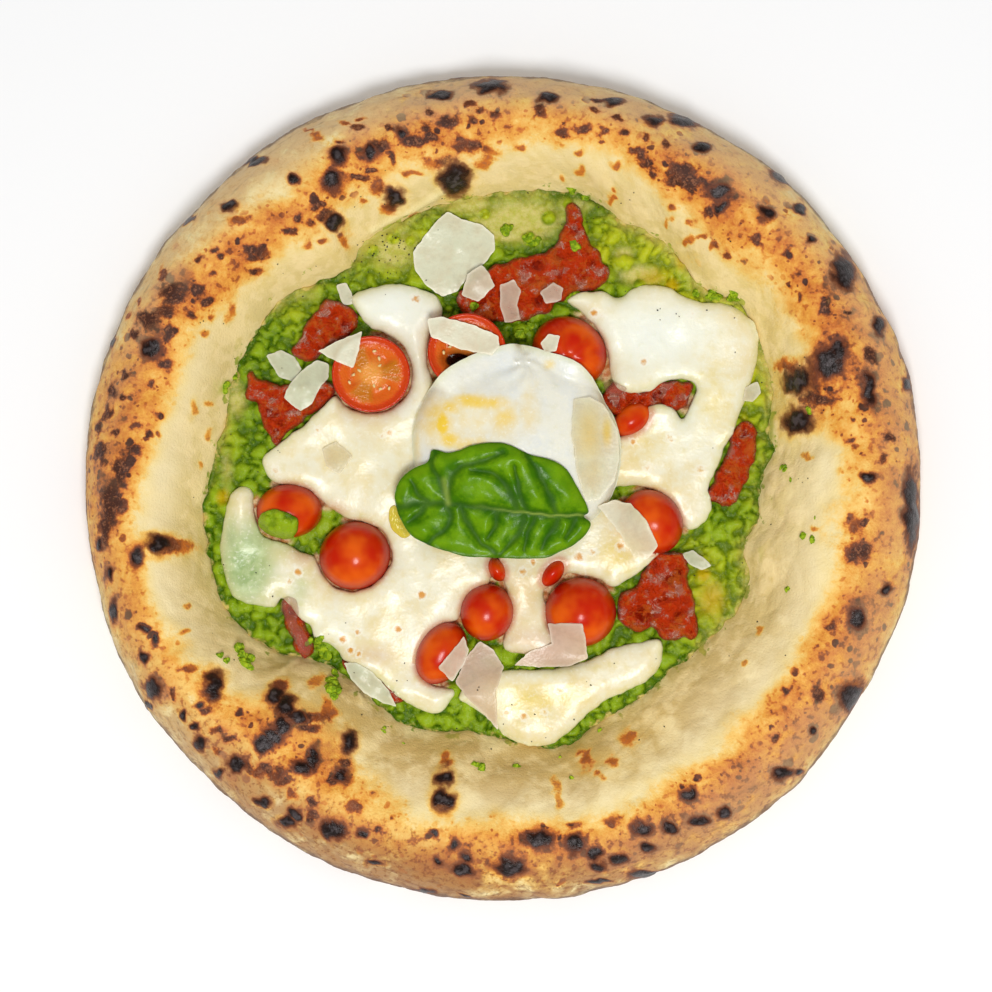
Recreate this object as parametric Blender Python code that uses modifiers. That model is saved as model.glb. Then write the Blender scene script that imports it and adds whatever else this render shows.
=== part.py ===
"""A Neapolitan-style pizza with a tall blistered rim, green pea cream, melted mozzarella, a
burrata, cherry tomatoes, dried tomatoes, cheese shavings and a basil leaf.

Metres, +Z up. The origin is the middle of the flat underside, and +Y points away from a person
who sees the basil leaf's stalk end on the right. Outlines are read from a picture taken straight
down, in its pixels, and at() turns them into places on the pizza.
"""

import math

import bmesh
import bpy
import numpy as np
from mathutils import Matrix, Vector
from mathutils.bvhtree import BVHTree
from mathutils.geometry import delaunay_2d_cdt
from mathutils.kdtree import KDTree

# Driving dimensions, in metres
PIZZA_DIAMETER = 0.310
CREST_HEIGHT = 0.0305
FLOOR_THICKNESS = 0.0045
CREAM_THICKNESS = 0.0022
CREAM_LUMP_RADIUS = 0.0027
CREAM_LUMP_RISE = 0.0024
CHEESE_THICKNESS = 0.0042
BURRATA_HEIGHT = 0.0255
DRIED_THICKNESS = 0.0038
SHAVING_THICKNESS = 0.0009
LEAF_THICKNESS = 0.0008
BLISTER_RISE = 0.0014
GAP = 0.0003

# The picture that the outlines are read from
PICTURE_DIAMETER_PX = 832.0
PIZZA_CENTRE_PX = (503.0, 488.5)
PIXEL = PIZZA_DIAMETER / PICTURE_DIAMETER_PX
PICTURE_DISTANCE = 1.2
PICTURE_PLANE = 0.010

# Mesh steps, in metres, and the rim's number of slices
RIM_SLICES = 84
CREAM_STEP = 0.0090
CHEESE_STEP = 0.0062
BURRATA_STEP = 0.0070
DRIED_STEP = 0.0046
SHAVING_STEP = 0.0054
LEAF_STEP = 0.0049
BRIDGING_ROUNDS = 12

# The rim's cross-section: share of its width from the foot, share of its height
RIM_TOP = [
    (0.00, 0.00), (0.06, 0.17), (0.14, 0.38), (0.25, 0.63), (0.38, 0.84), (0.50, 0.955),
    (0.61, 1.00), (0.72, 0.965), (0.82, 0.86), (0.91, 0.68), (0.97, 0.47), (1.00, 0.27),
]
RIM_UNDER = [(0.975, 0.11), (0.90, 0.0)]

# The rim's widest line, every 15 degrees counterclockwise from the right, in pixels
RIM_RADII_PX = [
    417, 420, 417, 417, 412, 412, 412, 412, 415, 414, 417, 417,
    417, 417, 418, 412, 413, 412, 412, 412, 414, 416, 413, 418,
]
# The rim's foot
FOOT_PX = [
    (758, 500), (757, 522), (745, 540), (741, 552), (748, 570), (746, 592), (735, 612),
    (715, 632), (695, 652), (672, 668), (650, 688), (625, 706), (598, 722), (575, 741),
    (555, 748), (530, 742), (500, 738), (470, 729), (435, 731), (405, 724), (382, 707),
    (362, 687), (335, 665), (305, 655), (280, 655), (258, 640), (236, 622), (222, 598),
    (213, 570), (207, 535), (204, 505), (211, 478), (218, 450), (225, 425), (229, 400),
    (236, 375), (246, 352), (262, 325), (278, 303), (300, 290), (330, 279), (352, 272),
    (360, 248), (382, 231), (412, 217), (445, 204), (480, 197), (520, 192), (560, 192),
    (590, 198), (622, 222), (655, 237), (678, 258), (692, 282), (715, 294), (738, 303),
    (752, 322), (760, 345), (767, 368), (772, 392), (768, 420), (768, 440), (774, 450),
    (764, 468), (760, 485),
]

# Air bubbles that swell the rim: place, radius in pixels, rise in metres
BULGES_PX = [
    (800, 374, 40, 0.0035), (752, 556, 22, 0.0028), (768, 488, 26, 0.0022),
    (308, 704, 50, 0.0045), (474, 772, 38, 0.0022), (318, 262, 34, 0.0022),
    (226, 640, 34, 0.0020), (420, 196, 36, 0.0022), (600, 752, 40, 0.0018),
    (175, 560, 42, 0.0020), (700, 240, 44, 0.0015), (660, 700, 34, 0.0016),
]

# Charred blisters that stand up from the rim: place and radius, in pixels
BLISTERS_PX = [
    (455, 180, 15), (392, 196, 11), (334, 222, 9), (333, 181, 10), (338, 155, 9),
    (489, 88, 14), (686, 122, 13), (720, 190, 9), (783, 178, 10), (843, 271, 15),
    (877, 328, 8), (799, 381, 14), (829, 360, 14), (870, 389, 10), (797, 421, 13),
    (858, 618, 11), (849, 696, 14), (642, 827, 8), (620, 860, 8), (574, 842, 9),
    (539, 839, 10), (510, 866, 14), (443, 792, 11), (332, 829, 11), (237, 764, 9),
    (284, 704, 13), (213, 688, 12), (158, 547, 11), (137, 559, 9), (150, 348, 10),
]

# Lumps of pea that stand out of the cream where it shows, in pixels
CREAM_LUMPS_PX = [
    (238, 445), (248, 462), (232, 462), (243, 436), (262, 440), (226, 486), (236, 480),
    (250, 474), (214, 516), (222, 508), (214, 548), (219, 590), (232, 605), (248, 614),
    (262, 622), (272, 634), (283, 648), (326, 652), (396, 712), (420, 722), (448, 722),
    (462, 712), (450, 706), (435, 720), (592, 716), (608, 708), (622, 700), (640, 686),
    (652, 672), (672, 656), (640, 634), (626, 638), (700, 634), (722, 614), (734, 600),
    (738, 580), (733, 566), (744, 528), (730, 548), (718, 546), (752, 512), (748, 494),
    (757, 470), (762, 448), (756, 418), (763, 405), (766, 385), (744, 310), (722, 306),
    (700, 290), (684, 282), (672, 268), (657, 256), (644, 246), (618, 234), (604, 222),
    (622, 262), (612, 278), (638, 272), (592, 204), (528, 232), (484, 214), (392, 238),
    (376, 250), (366, 262), (388, 262), (402, 282), (376, 276), (352, 284), (326, 288),
    (306, 300), (292, 314), (278, 328), (268, 342), (258, 356), (268, 372), (224, 378),
]
BARE_FLOOR_PX = [(470, 214), (520, 205), (556, 212), (548, 238), (512, 248), (478, 240)]

# Melted mozzarella, as closed outlines in pixels
CHEESE_PX = {
    "mozzarella_left": [
        (352, 297), (364, 289), (385, 285), (408, 286), (428, 291), (440, 302), (441, 316),
        (431, 330), (427, 348), (428, 370), (436, 392), (446, 420), (456, 460), (466, 505),
        (480, 536), (490, 552), (493, 572), (488, 584), (477, 590), (465, 601), (458, 618),
        (443, 626), (430, 638), (421, 654), (420, 670), (430, 684), (446, 688), (454, 692),
        (450, 702), (440, 713), (425, 712), (408, 703), (392, 691), (372, 674), (346, 662),
        (338, 652), (326, 643), (314, 641), (311, 626), (302, 620), (291, 607), (281, 599),
        (274, 607), (255, 605), (237, 600), (227, 584), (221, 560), (220, 540), (224, 518),
        (228, 500), (236, 488), (246, 487), (253, 496), (255, 512), (258, 530), (268, 539),
        (284, 543), (300, 552), (312, 557), (319, 567), (328, 582), (345, 591), (362, 590),
        (380, 579), (391, 561), (390, 545), (380, 530), (364, 522), (348, 519), (333, 510),
        (320, 500), (308, 489), (292, 485), (276, 483), (266, 474), (262, 463), (265, 454),
        (276, 446), (288, 436), (302, 427), (318, 412), (334, 396), (345, 406), (360, 412),
        (376, 413), (393, 408), (405, 398), (411, 384), (411, 364), (404, 348), (390, 336),
        (372, 328), (361, 316), (354, 306),
    ],
    "mozzarella_right": [
        (567, 301), (582, 292), (602, 291), (618, 298), (632, 289), (650, 285), (668, 287),
        (684, 296), (704, 303), (724, 304), (742, 312), (754, 322), (759, 340), (758, 358),
        (752, 378), (745, 400), (736, 424), (727, 444), (717, 468), (708, 490), (712, 508),
        (704, 524), (690, 530), (682, 524), (672, 506), (656, 492), (636, 485), (612, 487),
        (596, 480), (588, 462), (590, 444), (606, 440), (622, 436), (636, 419), (652, 405),
        (670, 407), (682, 418), (690, 404), (697, 388), (688, 379), (666, 382), (650, 391),
        (630, 393), (616, 386), (610, 368), (607, 350), (598, 330), (584, 314),
    ],
    "mozzarella_bottom": [
        (458, 697), (476, 680), (500, 672), (530, 670), (560, 668), (590, 660), (612, 649),
        (638, 643), (657, 640), (663, 650), (660, 665), (650, 679), (630, 690), (602, 703),
        (582, 720), (566, 735), (548, 746), (532, 746), (512, 741), (498, 730), (484, 716),
        (470, 706),
    ],
    "mozzarella_middle": [
        (500, 546), (540, 534), (576, 520), (594, 507), (614, 500), (636, 508), (652, 526),
        (661, 546), (650, 561), (634, 576), (615, 587), (600, 580), (582, 575), (566, 574),
        (552, 584), (544, 593), (547, 608), (549, 626), (560, 640), (566, 652), (545, 658),
        (525, 655), (509, 652), (503, 643), (508, 622), (509, 600), (504, 582), (500, 564),
    ],
}
BURRATA_PX = [
    (412, 446), (415, 418), (427, 393), (446, 371), (470, 357), (496, 348), (520, 345),
    (545, 352), (574, 362), (592, 378), (604, 400), (616, 424), (621, 452), (617, 482),
    (604, 508), (582, 528), (550, 540), (512, 544), (474, 538), (442, 520), (420, 490),
]

# Cherry tomatoes: place, half length, half width in pixels, turn in degrees, height in metres
TOMATOES_PX = {
    "tomato_half_left": (371, 374, 39, 38, 0, 0.0085),
    "tomato_half_top": (467, 352, 39, 38, 0, 0.0090),
    "tomato_west": (288, 511, 33, 27, 0, 0.0120),
    "tomato_southwest": (354, 556, 36, 34, 20, 0.0140),
    "tomato_south_a": (441, 654, 33, 24, 62, 0.0120),
    "tomato_south_b": (487, 613, 29, 27, 80, 0.0120),
    "tomato_southeast": (581, 613, 36, 35, 0, 0.0140),
    "tomato_east": (652, 522, 34, 30, -50, 0.0120),
    "tomato_north": (570, 351, 39, 34, -35, 0.0125),
    "tomato_middle_right": (633, 419, 22, 15, 35, 0.0080),
    "tomato_sliver_a": (497, 570, 13, 9, -60, 0.0065),
    "tomato_sliver_b": (553, 573, 17, 10, 50, 0.0068),
}
CUT_SIDE_UP = ("tomato_half_left", "tomato_half_top")

# Dried tomatoes, as closed outlines in pixels
DRIED_PX = {
    "dried_tomato_north": [
        (456, 302), (468, 286), (484, 272), (506, 262), (536, 254), (556, 243), (563, 224),
        (570, 204), (580, 208), (588, 232), (599, 254), (609, 272), (602, 286), (580, 292),
        (562, 301), (546, 313), (520, 321), (494, 322), (470, 317),
    ],
    "dried_tomato_northwest": [
        (325, 300), (342, 303), (356, 314), (357, 328), (346, 338), (330, 345), (316, 357),
        (303, 363), (292, 352), (300, 336), (310, 320),
    ],
    "dried_tomato_west": [
        (250, 373), (262, 380), (280, 384), (304, 382), (326, 380), (334, 390), (322, 405),
        (306, 419), (288, 433), (276, 444), (264, 428), (256, 404), (245, 396),
    ],
    "dried_tomato_east": [
        (741, 419), (752, 424), (758, 434), (755, 452), (750, 472), (742, 491), (728, 507),
        (714, 502), (707, 492), (714, 480), (722, 466), (728, 448), (734, 432),
    ],
    "dried_tomato_southeast": [
        (650, 553), (668, 552), (685, 554), (690, 566), (688, 580), (693, 598), (698, 616),
        (697, 636), (680, 640), (663, 638), (651, 628), (634, 631), (621, 622), (617, 604),
        (626, 592), (642, 578),
    ],
    "dried_tomato_southwest": [
        (282, 598), (293, 600), (303, 612), (309, 632), (313, 650), (306, 659), (296, 654),
        (291, 638), (284, 618),
    ],
    "dried_tomato_south": [
        (343, 661), (358, 664), (376, 674), (392, 686), (403, 700), (394, 704), (378, 694),
        (360, 684), (348, 674),
    ],
    "dried_tomato_middle": [
        (600, 402), (608, 388), (624, 380), (640, 390), (664, 383), (690, 380), (694, 390),
        (686, 407), (668, 412), (650, 408), (634, 416), (614, 414),
    ],
}

# Cheese shavings, as closed outlines in pixels
SHAVINGS_PX = {
    "shaving_north": [
        (447, 209), (462, 217), (481, 222), (494, 233), (495, 247), (486, 260), (470, 273),
        (456, 290), (442, 295), (426, 284), (414, 268), (412, 250), (424, 234), (436, 219),
    ],
    "shaving_north_small": [(468, 272), (482, 264), (490, 273), (495, 285), (478, 301), (461, 294)],
    "shaving_strip": [
        (427, 319), (441, 317), (472, 325), (498, 336), (499, 347), (492, 356), (462, 350),
        (431, 337),
    ],
    "shaving_triangle": [(317, 351), (338, 340), (362, 331), (359, 349), (353, 368), (336, 361)],
    "shaving_west_a": [(264, 354), (279, 349), (293, 356), (300, 368), (292, 381), (277, 376)],
    "shaving_west_b": [
        (300, 370), (316, 359), (327, 363), (328, 376), (318, 389), (311, 403), (299, 411),
        (282, 397), (289, 383),
    ],
    "shaving_red_a": [(500, 284), (514, 278), (521, 290), (517, 303), (521, 319), (505, 322), (500, 304)],
    "shaving_red_b": [(540, 291), (554, 281), (564, 287), (561, 299), (546, 303)],
    "shaving_round": [
        (598, 506), (614, 500), (631, 504), (646, 520), (658, 546), (648, 559), (633, 556),
        (620, 534),
    ],
    "shaving_pea": [(683, 554), (695, 551), (706, 559), (714, 567), (703, 571), (690, 564)],
    "shaving_south_a": [
        (548, 624), (582, 622), (586, 640), (588, 659), (570, 667), (540, 668), (514, 666),
        (530, 652), (552, 645),
    ],
    "shaving_south_b": [
        (455, 684), (466, 658), (480, 642), (494, 652), (504, 668), (496, 692), (498, 732),
        (484, 716), (468, 700),
    ],
    "shaving_south_c": [(438, 667), (452, 651), (464, 636), (469, 650), (463, 666), (452, 682)],
    "shaving_southwest": [
        (343, 664), (356, 663), (374, 675), (387, 690), (396, 708), (382, 704), (363, 694),
        (350, 680),
    ],
    "shaving_burrata": [
        (573, 399), (590, 397), (605, 406), (617, 430), (619, 456), (615, 480), (600, 499),
        (585, 502), (576, 470), (571, 430),
    ],
    "shaving_east": [(747, 386), (760, 380), (763, 392), (755, 401), (744, 400)],
    "shaving_melted": [(321, 449), (335, 441), (352, 456), (339, 474), (325, 466)],
    "shaving_shred": [(335, 284), (344, 281), (351, 291), (352, 303), (342, 303), (338, 294)],
    "shaving_tomato": [(540, 343), (549, 334), (560, 336), (556, 351), (545, 353)],
}

CLUMP_PX = [
    (258, 522), (264, 513), (277, 509), (291, 513), (299, 520), (297, 534), (285, 539), (268, 534),
]

LEAF_PX = [
    (396, 493), (401, 480), (413, 469), (428, 462), (433, 450), (447, 453), (459, 451),
    (472, 446), (492, 443), (508, 445), (530, 455), (550, 460), (566, 470), (577, 488),
    (588, 510), (583, 516), (590, 523), (586, 533), (574, 544), (560, 551), (546, 557),
    (520, 558), (494, 557), (468, 556), (448, 551), (428, 544), (411, 534), (402, 520),
    (397, 506),
]

COLOURS = {
    "crust": ((0.83, 0.60, 0.34), 0.75),
    "cream": ((0.36, 0.50, 0.10), 0.45),
    "cheese": ((0.93, 0.90, 0.78), 0.35),
    "burrata": ((0.94, 0.93, 0.88), 0.30),
    "tomato": ((0.72, 0.08, 0.02), 0.22),
    "dried_tomato": ((0.42, 0.05, 0.03), 0.35),
    "shaving": ((0.90, 0.84, 0.68), 0.40),
    "leaf": ((0.10, 0.27, 0.03), 0.35),
}


def clear_scene():
    for item in list(bpy.data.objects):
        bpy.data.objects.remove(item, do_unlink=True)


def make_materials():
    made = {}
    for name, (colour, roughness) in COLOURS.items():
        material = bpy.data.materials.new(name)
        material.use_nodes = True
        shader = material.node_tree.nodes["Principled BSDF"]
        shader.inputs["Base Color"].default_value = (*colour, 1.0)
        shader.inputs["Roughness"].default_value = roughness
        shader.inputs["Metallic"].default_value = 0.0
        made[name] = material
    return made


def at(px, py, height=PICTURE_PLANE):
    """The place on the pizza of a pixel of the picture, for something at that height."""
    nearer = (PICTURE_DISTANCE - height) / (PICTURE_DISTANCE - PICTURE_PLANE)
    x = (px - PIZZA_CENTRE_PX[0]) * PIXEL * nearer
    y = (PIZZA_CENTRE_PX[1] - py) * PIXEL * nearer
    return x, y


def bearing(x, y):
    return np.arctan2(y, x) % (2 * math.pi)


def waves(x, y, size):
    """Smooth uneven relief between about -1 and 1, with features of this size."""
    u, v = np.asarray(x) * 2 * math.pi / size, np.asarray(y) * 2 * math.pi / size
    first = np.sin(u + 1.3 * np.sin(0.7 * v + 0.4))
    second = np.sin(0.8 * v + 1.1 * np.sin(0.9 * u + 2.1) + 1.7)
    third = np.sin(0.6 * (u + v) + 0.9 * np.sin(1.1 * (u - v)) + 0.3)
    return (first + second + third) / 3


def foot_radius(angle):
    """Distance from the middle to the rim's foot, by bearing."""
    places = np.array([at(px, py) for px, py in FOOT_PX])
    order = np.argsort(bearing(places[:, 0], places[:, 1]))
    angles = bearing(places[:, 0], places[:, 1])[order]
    radii = np.hypot(places[:, 0], places[:, 1])[order]
    return np.interp(angle, angles, radii, period=2 * math.pi)


def outer_radius(angle):
    """Distance from the middle to the rim's widest line, by bearing."""
    angles = np.linspace(0, 2 * math.pi, len(RIM_RADII_PX), endpoint=False)
    return np.interp(angle, angles, RIM_RADII_PX, period=2 * math.pi) * PIXEL


def crest_height(angle):
    return CREST_HEIGHT * (1 + 0.05 * np.sin(2 * angle + 0.6) + 0.04 * np.sin(5 * angle + 2.0))


def bulge_height(x, y):
    """How far the air bubbles lift the rim."""
    rise = np.zeros_like(x)
    for px, py, radius, height in BULGES_PX:
        bx, by = at(px, py, 0.02)
        away = np.hypot(x - bx, y - by) / (radius * PIXEL)
        rise = rise + height * np.clip(1 - away**2, 0, 1) ** 1.5
    return rise


def rim_relief(x, y):
    return 0.0010 * waves(x, y, 0.046) + 0.0006 * waves(y + 0.3, x, 0.023)


def crust_top(x, y):
    """Height of the crust's upper surface inside its widest line."""
    x, y = np.atleast_1d(x).astype(float), np.atleast_1d(y).astype(float)
    angle = bearing(x, y)
    foot = foot_radius(angle)
    across = (np.hypot(x, y) - foot) / (outer_radius(angle) - foot)
    shares, heights = zip(*RIM_TOP)
    share = np.interp(across, shares, heights)
    height = FLOOR_THICKNESS + share * (crest_height(angle) - FLOOR_THICKNESS)
    raised = np.clip(across / 0.15, 0, 1) * np.clip((1.0 - across) / 0.1, 0, 1)
    return height + raised * (bulge_height(x, y) + rim_relief(x, y))


def link(name, mesh, material):
    item = bpy.data.objects.new(name, mesh)
    PARTS.objects.link(item)
    item.data.materials.clear()
    item.data.materials.append(material)
    return item


def mesh_of(bm, name):
    bmesh.ops.recalc_face_normals(bm, faces=bm.faces[:])
    mesh = bpy.data.meshes.new(name)
    bm.to_mesh(mesh)
    bm.free()
    mesh.shade_smooth()
    mesh.set_sharp_from_angle(angle=math.radians(50))
    return mesh


def turned_crust():
    """The crust turned at its mean radii, as a profile with a Screw modifier."""
    floor_share = FLOOR_THICKNESS / CREST_HEIGHT
    inner = MEAN_FOOT
    width = MEAN_OUTER - MEAN_FOOT
    under = [(inner + width * u, CREST_HEIGHT * v) for u, v in RIM_UNDER]
    top = [(inner + width * u, CREST_HEIGHT * (floor_share + (1 - floor_share) * v)) for u, v in RIM_TOP]
    profile = [(0.0, FLOOR_THICKNESS), (inner * 0.6, FLOOR_THICKNESS)] + top + under
    profile += [(inner * 0.6, 0.0), (0.0, 0.0)]
    mesh = bpy.data.meshes.new("turned")
    points = [(radius, 0.0, height) for radius, height in profile]
    mesh.from_pydata(points, [(i, i + 1) for i in range(len(points) - 1)], [])
    item = bpy.data.objects.new("turned", mesh)
    PARTS.objects.link(item)
    screw = item.modifiers.new("turn", "SCREW")
    screw.steps = screw.render_steps = RIM_SLICES
    screw.use_merge_vertices = True
    screw.merge_threshold = 0.00005
    graph = bpy.context.evaluated_depsgraph_get()
    turned = bpy.data.meshes.new_from_object(item.evaluated_get(graph))
    bpy.data.objects.remove(item)
    return turned


def make_crust(material):
    """Base and rim in one piece: the turned shape, moved out to the foot and rim at each bearing."""
    bm = bmesh.new()
    bm.from_mesh(turned_crust())
    bmesh.ops.remove_doubles(bm, verts=bm.verts[:], dist=0.00002)
    for vert in bm.verts:
        radius = math.hypot(vert.co.x, vert.co.y)
        if radius < 1e-5:
            continue
        angle = bearing(vert.co.x, vert.co.y)
        foot, outer = float(foot_radius(angle)), float(outer_radius(angle))
        share = (radius - MEAN_FOOT) / (MEAN_OUTER - MEAN_FOOT)
        reach = foot + share * (outer - foot) if share > -1e-4 else radius * foot / MEAN_FOOT
        x, y = reach * math.cos(angle), reach * math.sin(angle)
        under = vert.co.z < 0.15 * CREST_HEIGHT and share > 0.5 or vert.co.z < 1e-5
        if under:
            height = vert.co.z
        else:
            height = float(crust_top(x, y)[0])
        vert.co = (x, y, height)
    crust = link("crust", mesh_of(bm, "crust"), material)
    fuse(crust, [blister(*place) for place in BLISTERS_PX])
    return crust


def blister(px, py, radius_px):
    """A flattened bead, half sunk in the rim."""
    height = CREST_HEIGHT
    for _ in range(4):
        x, y = at(px, py, height)
        height = float(crust_top(x, y)[0])
    radius = radius_px * PIXEL
    step = 0.5 * radius
    slope_x = float((crust_top(x + step, y) - crust_top(x - step, y))[0]) / (2 * step)
    slope_y = float((crust_top(x, y + step) - crust_top(x, y - step))[0]) / (2 * step)
    normal = Vector((-slope_x, -slope_y, 1)).normalized()
    bm = bmesh.new()
    bmesh.ops.create_uvsphere(bm, u_segments=8, v_segments=4, radius=1.0)
    lean = normal.to_track_quat("Z", "Y").to_matrix().to_4x4()
    size = Matrix.Diagonal((radius, radius, BLISTER_RISE + 0.12 * radius, 1.0))
    place = Matrix.Translation(Vector((x, y, height)))
    bmesh.ops.transform(bm, matrix=place @ lean @ size, verts=bm.verts[:])
    item = bpy.data.objects.new("blister", mesh_of(bm, "blister"))
    FUSED.objects.link(item)
    return item


def fuse(item, pieces):
    """Joins pieces, which are in the FUSED collection, to item with one Boolean union."""
    union = item.modifiers.new("fuse", "BOOLEAN")
    union.operation = "UNION"
    union.operand_type = "COLLECTION"
    union.collection = FUSED
    union.solver = "MANIFOLD"
    bake(item)
    for piece in pieces:
        bpy.data.objects.remove(piece)


def carve(item, cutters):
    """Takes the cutters away from item, one after another."""
    for cutter in cutters:
        cut = item.modifiers.new("carve", "BOOLEAN")
        cut.operation = "DIFFERENCE"
        cut.solver = "MANIFOLD"
        cut.object = cutter
        bake(item)


def bake(item):
    """Applies the item's modifiers to its mesh."""
    bpy.context.view_layer.update()
    graph = bpy.context.evaluated_depsgraph_get()
    made = bpy.data.meshes.new_from_object(item.evaluated_get(graph))
    item.modifiers.clear()
    item.data = made
    made.set_sharp_from_angle(angle=math.radians(40))


def smooth_outline(points_px, step):
    """A closed curve through the points, as places an even step apart."""
    knots = np.array([at(px, py) for px, py in points_px])
    dense = []
    count = len(knots)
    for i in range(count):
        p0, p1, p2, p3 = (knots[(i + k - 1) % count] for k in range(4))
        for t in np.linspace(0, 1, 12, endpoint=False):
            dense.append(
                0.5 * (2 * p1 + (p2 - p0) * t + (2 * p0 - 5 * p1 + 4 * p2 - p3) * t**2
                       + (3 * p1 - p0 - 3 * p2 + p3) * t**3)
            )
    dense = np.array(dense)
    closed = np.vstack([dense, dense[:1]])
    along = np.concatenate([[0], np.cumsum(np.linalg.norm(np.diff(closed, axis=0), axis=1))])
    number = max(6, round(along[-1] / step))
    wanted = np.linspace(0, along[-1], number, endpoint=False)
    return np.column_stack([np.interp(wanted, along, closed[:, k]) for k in (0, 1)])


def inside(points, outline):
    """Which points lie inside the closed outline."""
    x, y = points[:, 0], points[:, 1]
    found = np.zeros(len(points), bool)
    for (x0, y0), (x1, y1) in zip(outline, np.roll(outline, -1, axis=0)):
        crosses = (y0 > y) != (y1 > y)
        if y1 != y0:
            found ^= crosses & (x < x0 + (y - y0) * (x1 - x0) / (y1 - y0))
    return found


def edge_distance(points, outline):
    """Distance of each point from the outline."""
    nearest = np.full(len(points), 1e9)
    for start, end in zip(outline, np.roll(outline, -1, axis=0)):
        along = end - start
        share = np.clip((points - start) @ along / max(along @ along, 1e-18), 0, 1)
        nearest = np.minimum(nearest, np.linalg.norm(points - start - share[:, None] * along, axis=1))
    return nearest


def hexagonal_grid(outline, step):
    """Points inside the outline on a grid of even triangles."""
    low, high = outline.min(axis=0), outline.max(axis=0)
    points = []
    rows = np.arange(low[1], high[1], step * math.sqrt(0.75))
    for row, y in enumerate(rows):
        for x in np.arange(low[0] + (row % 2) * step / 2, high[0], step):
            points.append((x, y))
    points = np.array(points)
    return points[inside(points, outline) & (edge_distance(points, outline) > 0.6 * step)]


def triangulated(outline, inner):
    """The outline filled with triangles that use the inner points."""
    places = [Vector(p) for p in np.vstack([outline, inner])]
    ring = [list(range(len(outline)))]
    verts, _, faces, _, _, _ = delaunay_2d_cdt(places, [], ring, 1, 1e-7, False)
    flat = np.array([(v.x, v.y) for v in verts])
    middles = np.array([flat[face].mean(axis=0) for face in faces])
    return flat, [tuple(face) for face, kept in zip(faces, inside(middles, outline)) if kept]


def sheet(name, outline, inner, lower, thickness, material, under=None):
    """A closed slab over a flat triangulation: lower(points) is its underside, thickness(points)
    what lies above it. Both faces have the same triangles, unless under gives the underside's own
    inner points."""
    flat, faces = triangulated(outline, inner)
    below, under_faces = (flat, faces) if under is None else triangulated(outline, under)
    bm = bmesh.new()
    low = [bm.verts.new((x, y, z)) for (x, y), z in zip(below, lower(below))]
    high = [bm.verts.new((x, y, z)) for (x, y), z in zip(flat, lower(flat) + thickness(flat))]
    for face in faces:
        bm.faces.new([high[i] for i in face])
    for face in under_faces:
        bm.faces.new([low[i] for i in reversed(face)])
    for a in range(len(outline)):
        b = (a + 1) % len(outline)
        bm.faces.new([low[a], low[b], high[b]])
        bm.faces.new([low[a], high[b], high[a]])
    return link(name, mesh_of(bm, name), material)


class Ground:
    """What has been laid so far, as the next piece finds it from above."""

    def __init__(self):
        self.points = []
        self.faces = []

    def add(self, item):
        first = len(self.points)
        self.points += [vert.co.copy() for vert in item.data.vertices]
        self.faces += [[first + i for i in face.vertices] for face in item.data.polygons]
        self.tree = BVHTree.FromPolygons(self.points, self.faces)
        self.near = KDTree(len(self.points))
        for index, point in enumerate(self.points):
            self.near.insert((point.x, point.y, 0), index)
        self.near.balance()

    def height(self, x, y):
        hit = self.tree.ray_cast(Vector((x, y, 0.1)), Vector((0, 0, -1)))[0]
        return hit.z if hit else 0.0

    def highest(self, x, y, reach):
        """The highest point within reach of a place."""
        found = self.height(x, y)
        for turn in range(16):
            angle = turn * math.pi / 8
            for share in (0.5, 1.0):
                px = x + share * reach * math.cos(angle)
                py = y + share * reach * math.sin(angle)
                found = max(found, self.height(px, py))
        for _, index, _ in self.near.find_range((x, y, 0), reach):
            found = max(found, self.points[index].z)
        return found


def resting(ground, reach):
    """The underside of a soft piece that lies on whatever is below it."""
    return lambda flat: np.array([ground.highest(x, y, reach) + GAP for x, y in flat])


def rounded(outline, edge, full, width):
    """A thickness that grows from edge at the outline to full at width inside it."""
    def thickness(flat):
        share = np.clip(edge_distance(flat, outline) / width, 0, 1)
        return edge + (full - edge) * np.sqrt(1 - (1 - share) ** 2)
    return thickness


def make_cream(ground, material):
    """The pea cream: a thin spread inside the rim's foot, thinner where the floor shows through,
    with lumps of pea standing out of it."""
    angles = np.linspace(0, 2 * math.pi, RIM_SLICES, endpoint=False)
    radii = foot_radius(angles) - 0.0022
    outline = np.column_stack([radii * np.cos(angles), radii * np.sin(angles)])
    bare = smooth_outline(BARE_FLOOR_PX, 0.004)
    lumps = np.array([lump_place(px, py, outline) for px, py in CREAM_LUMPS_PX])
    grid = hexagonal_grid(outline, CREAM_STEP)
    apart = np.linalg.norm(grid[:, None] - lumps[None], axis=2).min(axis=1)
    turns = np.linspace(0, 2 * math.pi, 6, endpoint=False)
    ring = 0.62 * CREAM_LUMP_RADIUS * np.column_stack([np.cos(turns), np.sin(turns)])
    inner = np.vstack([grid[apart > 0.7 * CREAM_STEP], lumps] + [ring + lump for lump in lumps])

    def thickness(flat):
        spread = rounded(outline, 0.0010, CREAM_THICKNESS, 0.006)(flat)
        lumpy = 0.0003 * waves(flat[:, 0], flat[:, 1], 0.013)
        thin = np.where(inside(flat, bare), 0.55, 1.0)
        away = np.linalg.norm(flat[:, None] - lumps[None], axis=2).min(axis=1) / CREAM_LUMP_RADIUS
        return spread * thin + lumpy + CREAM_LUMP_RISE * np.sqrt(np.clip(1 - away**2, 0, 1))
    under = hexagonal_grid(outline, 3 * CREAM_STEP)
    return sheet("pea_cream", outline, inner, resting(ground, 0.001), thickness, material, under)


def lump_place(px, py, outline):
    """The lump's place, moved in from the cream's edge where it would stick out."""
    place = np.array([at(px, py)])
    while not inside(place, outline)[0] or edge_distance(place, outline)[0] < CREAM_LUMP_RADIUS:
        place = place * 0.99
    return place[0]


def tomato_frame(px, py, half_length, half_width, turn):
    x, y = at(px, py)
    angle = math.radians(turn)
    return x, y, half_length * PIXEL, half_width * PIXEL, math.cos(angle), math.sin(angle)


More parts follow.
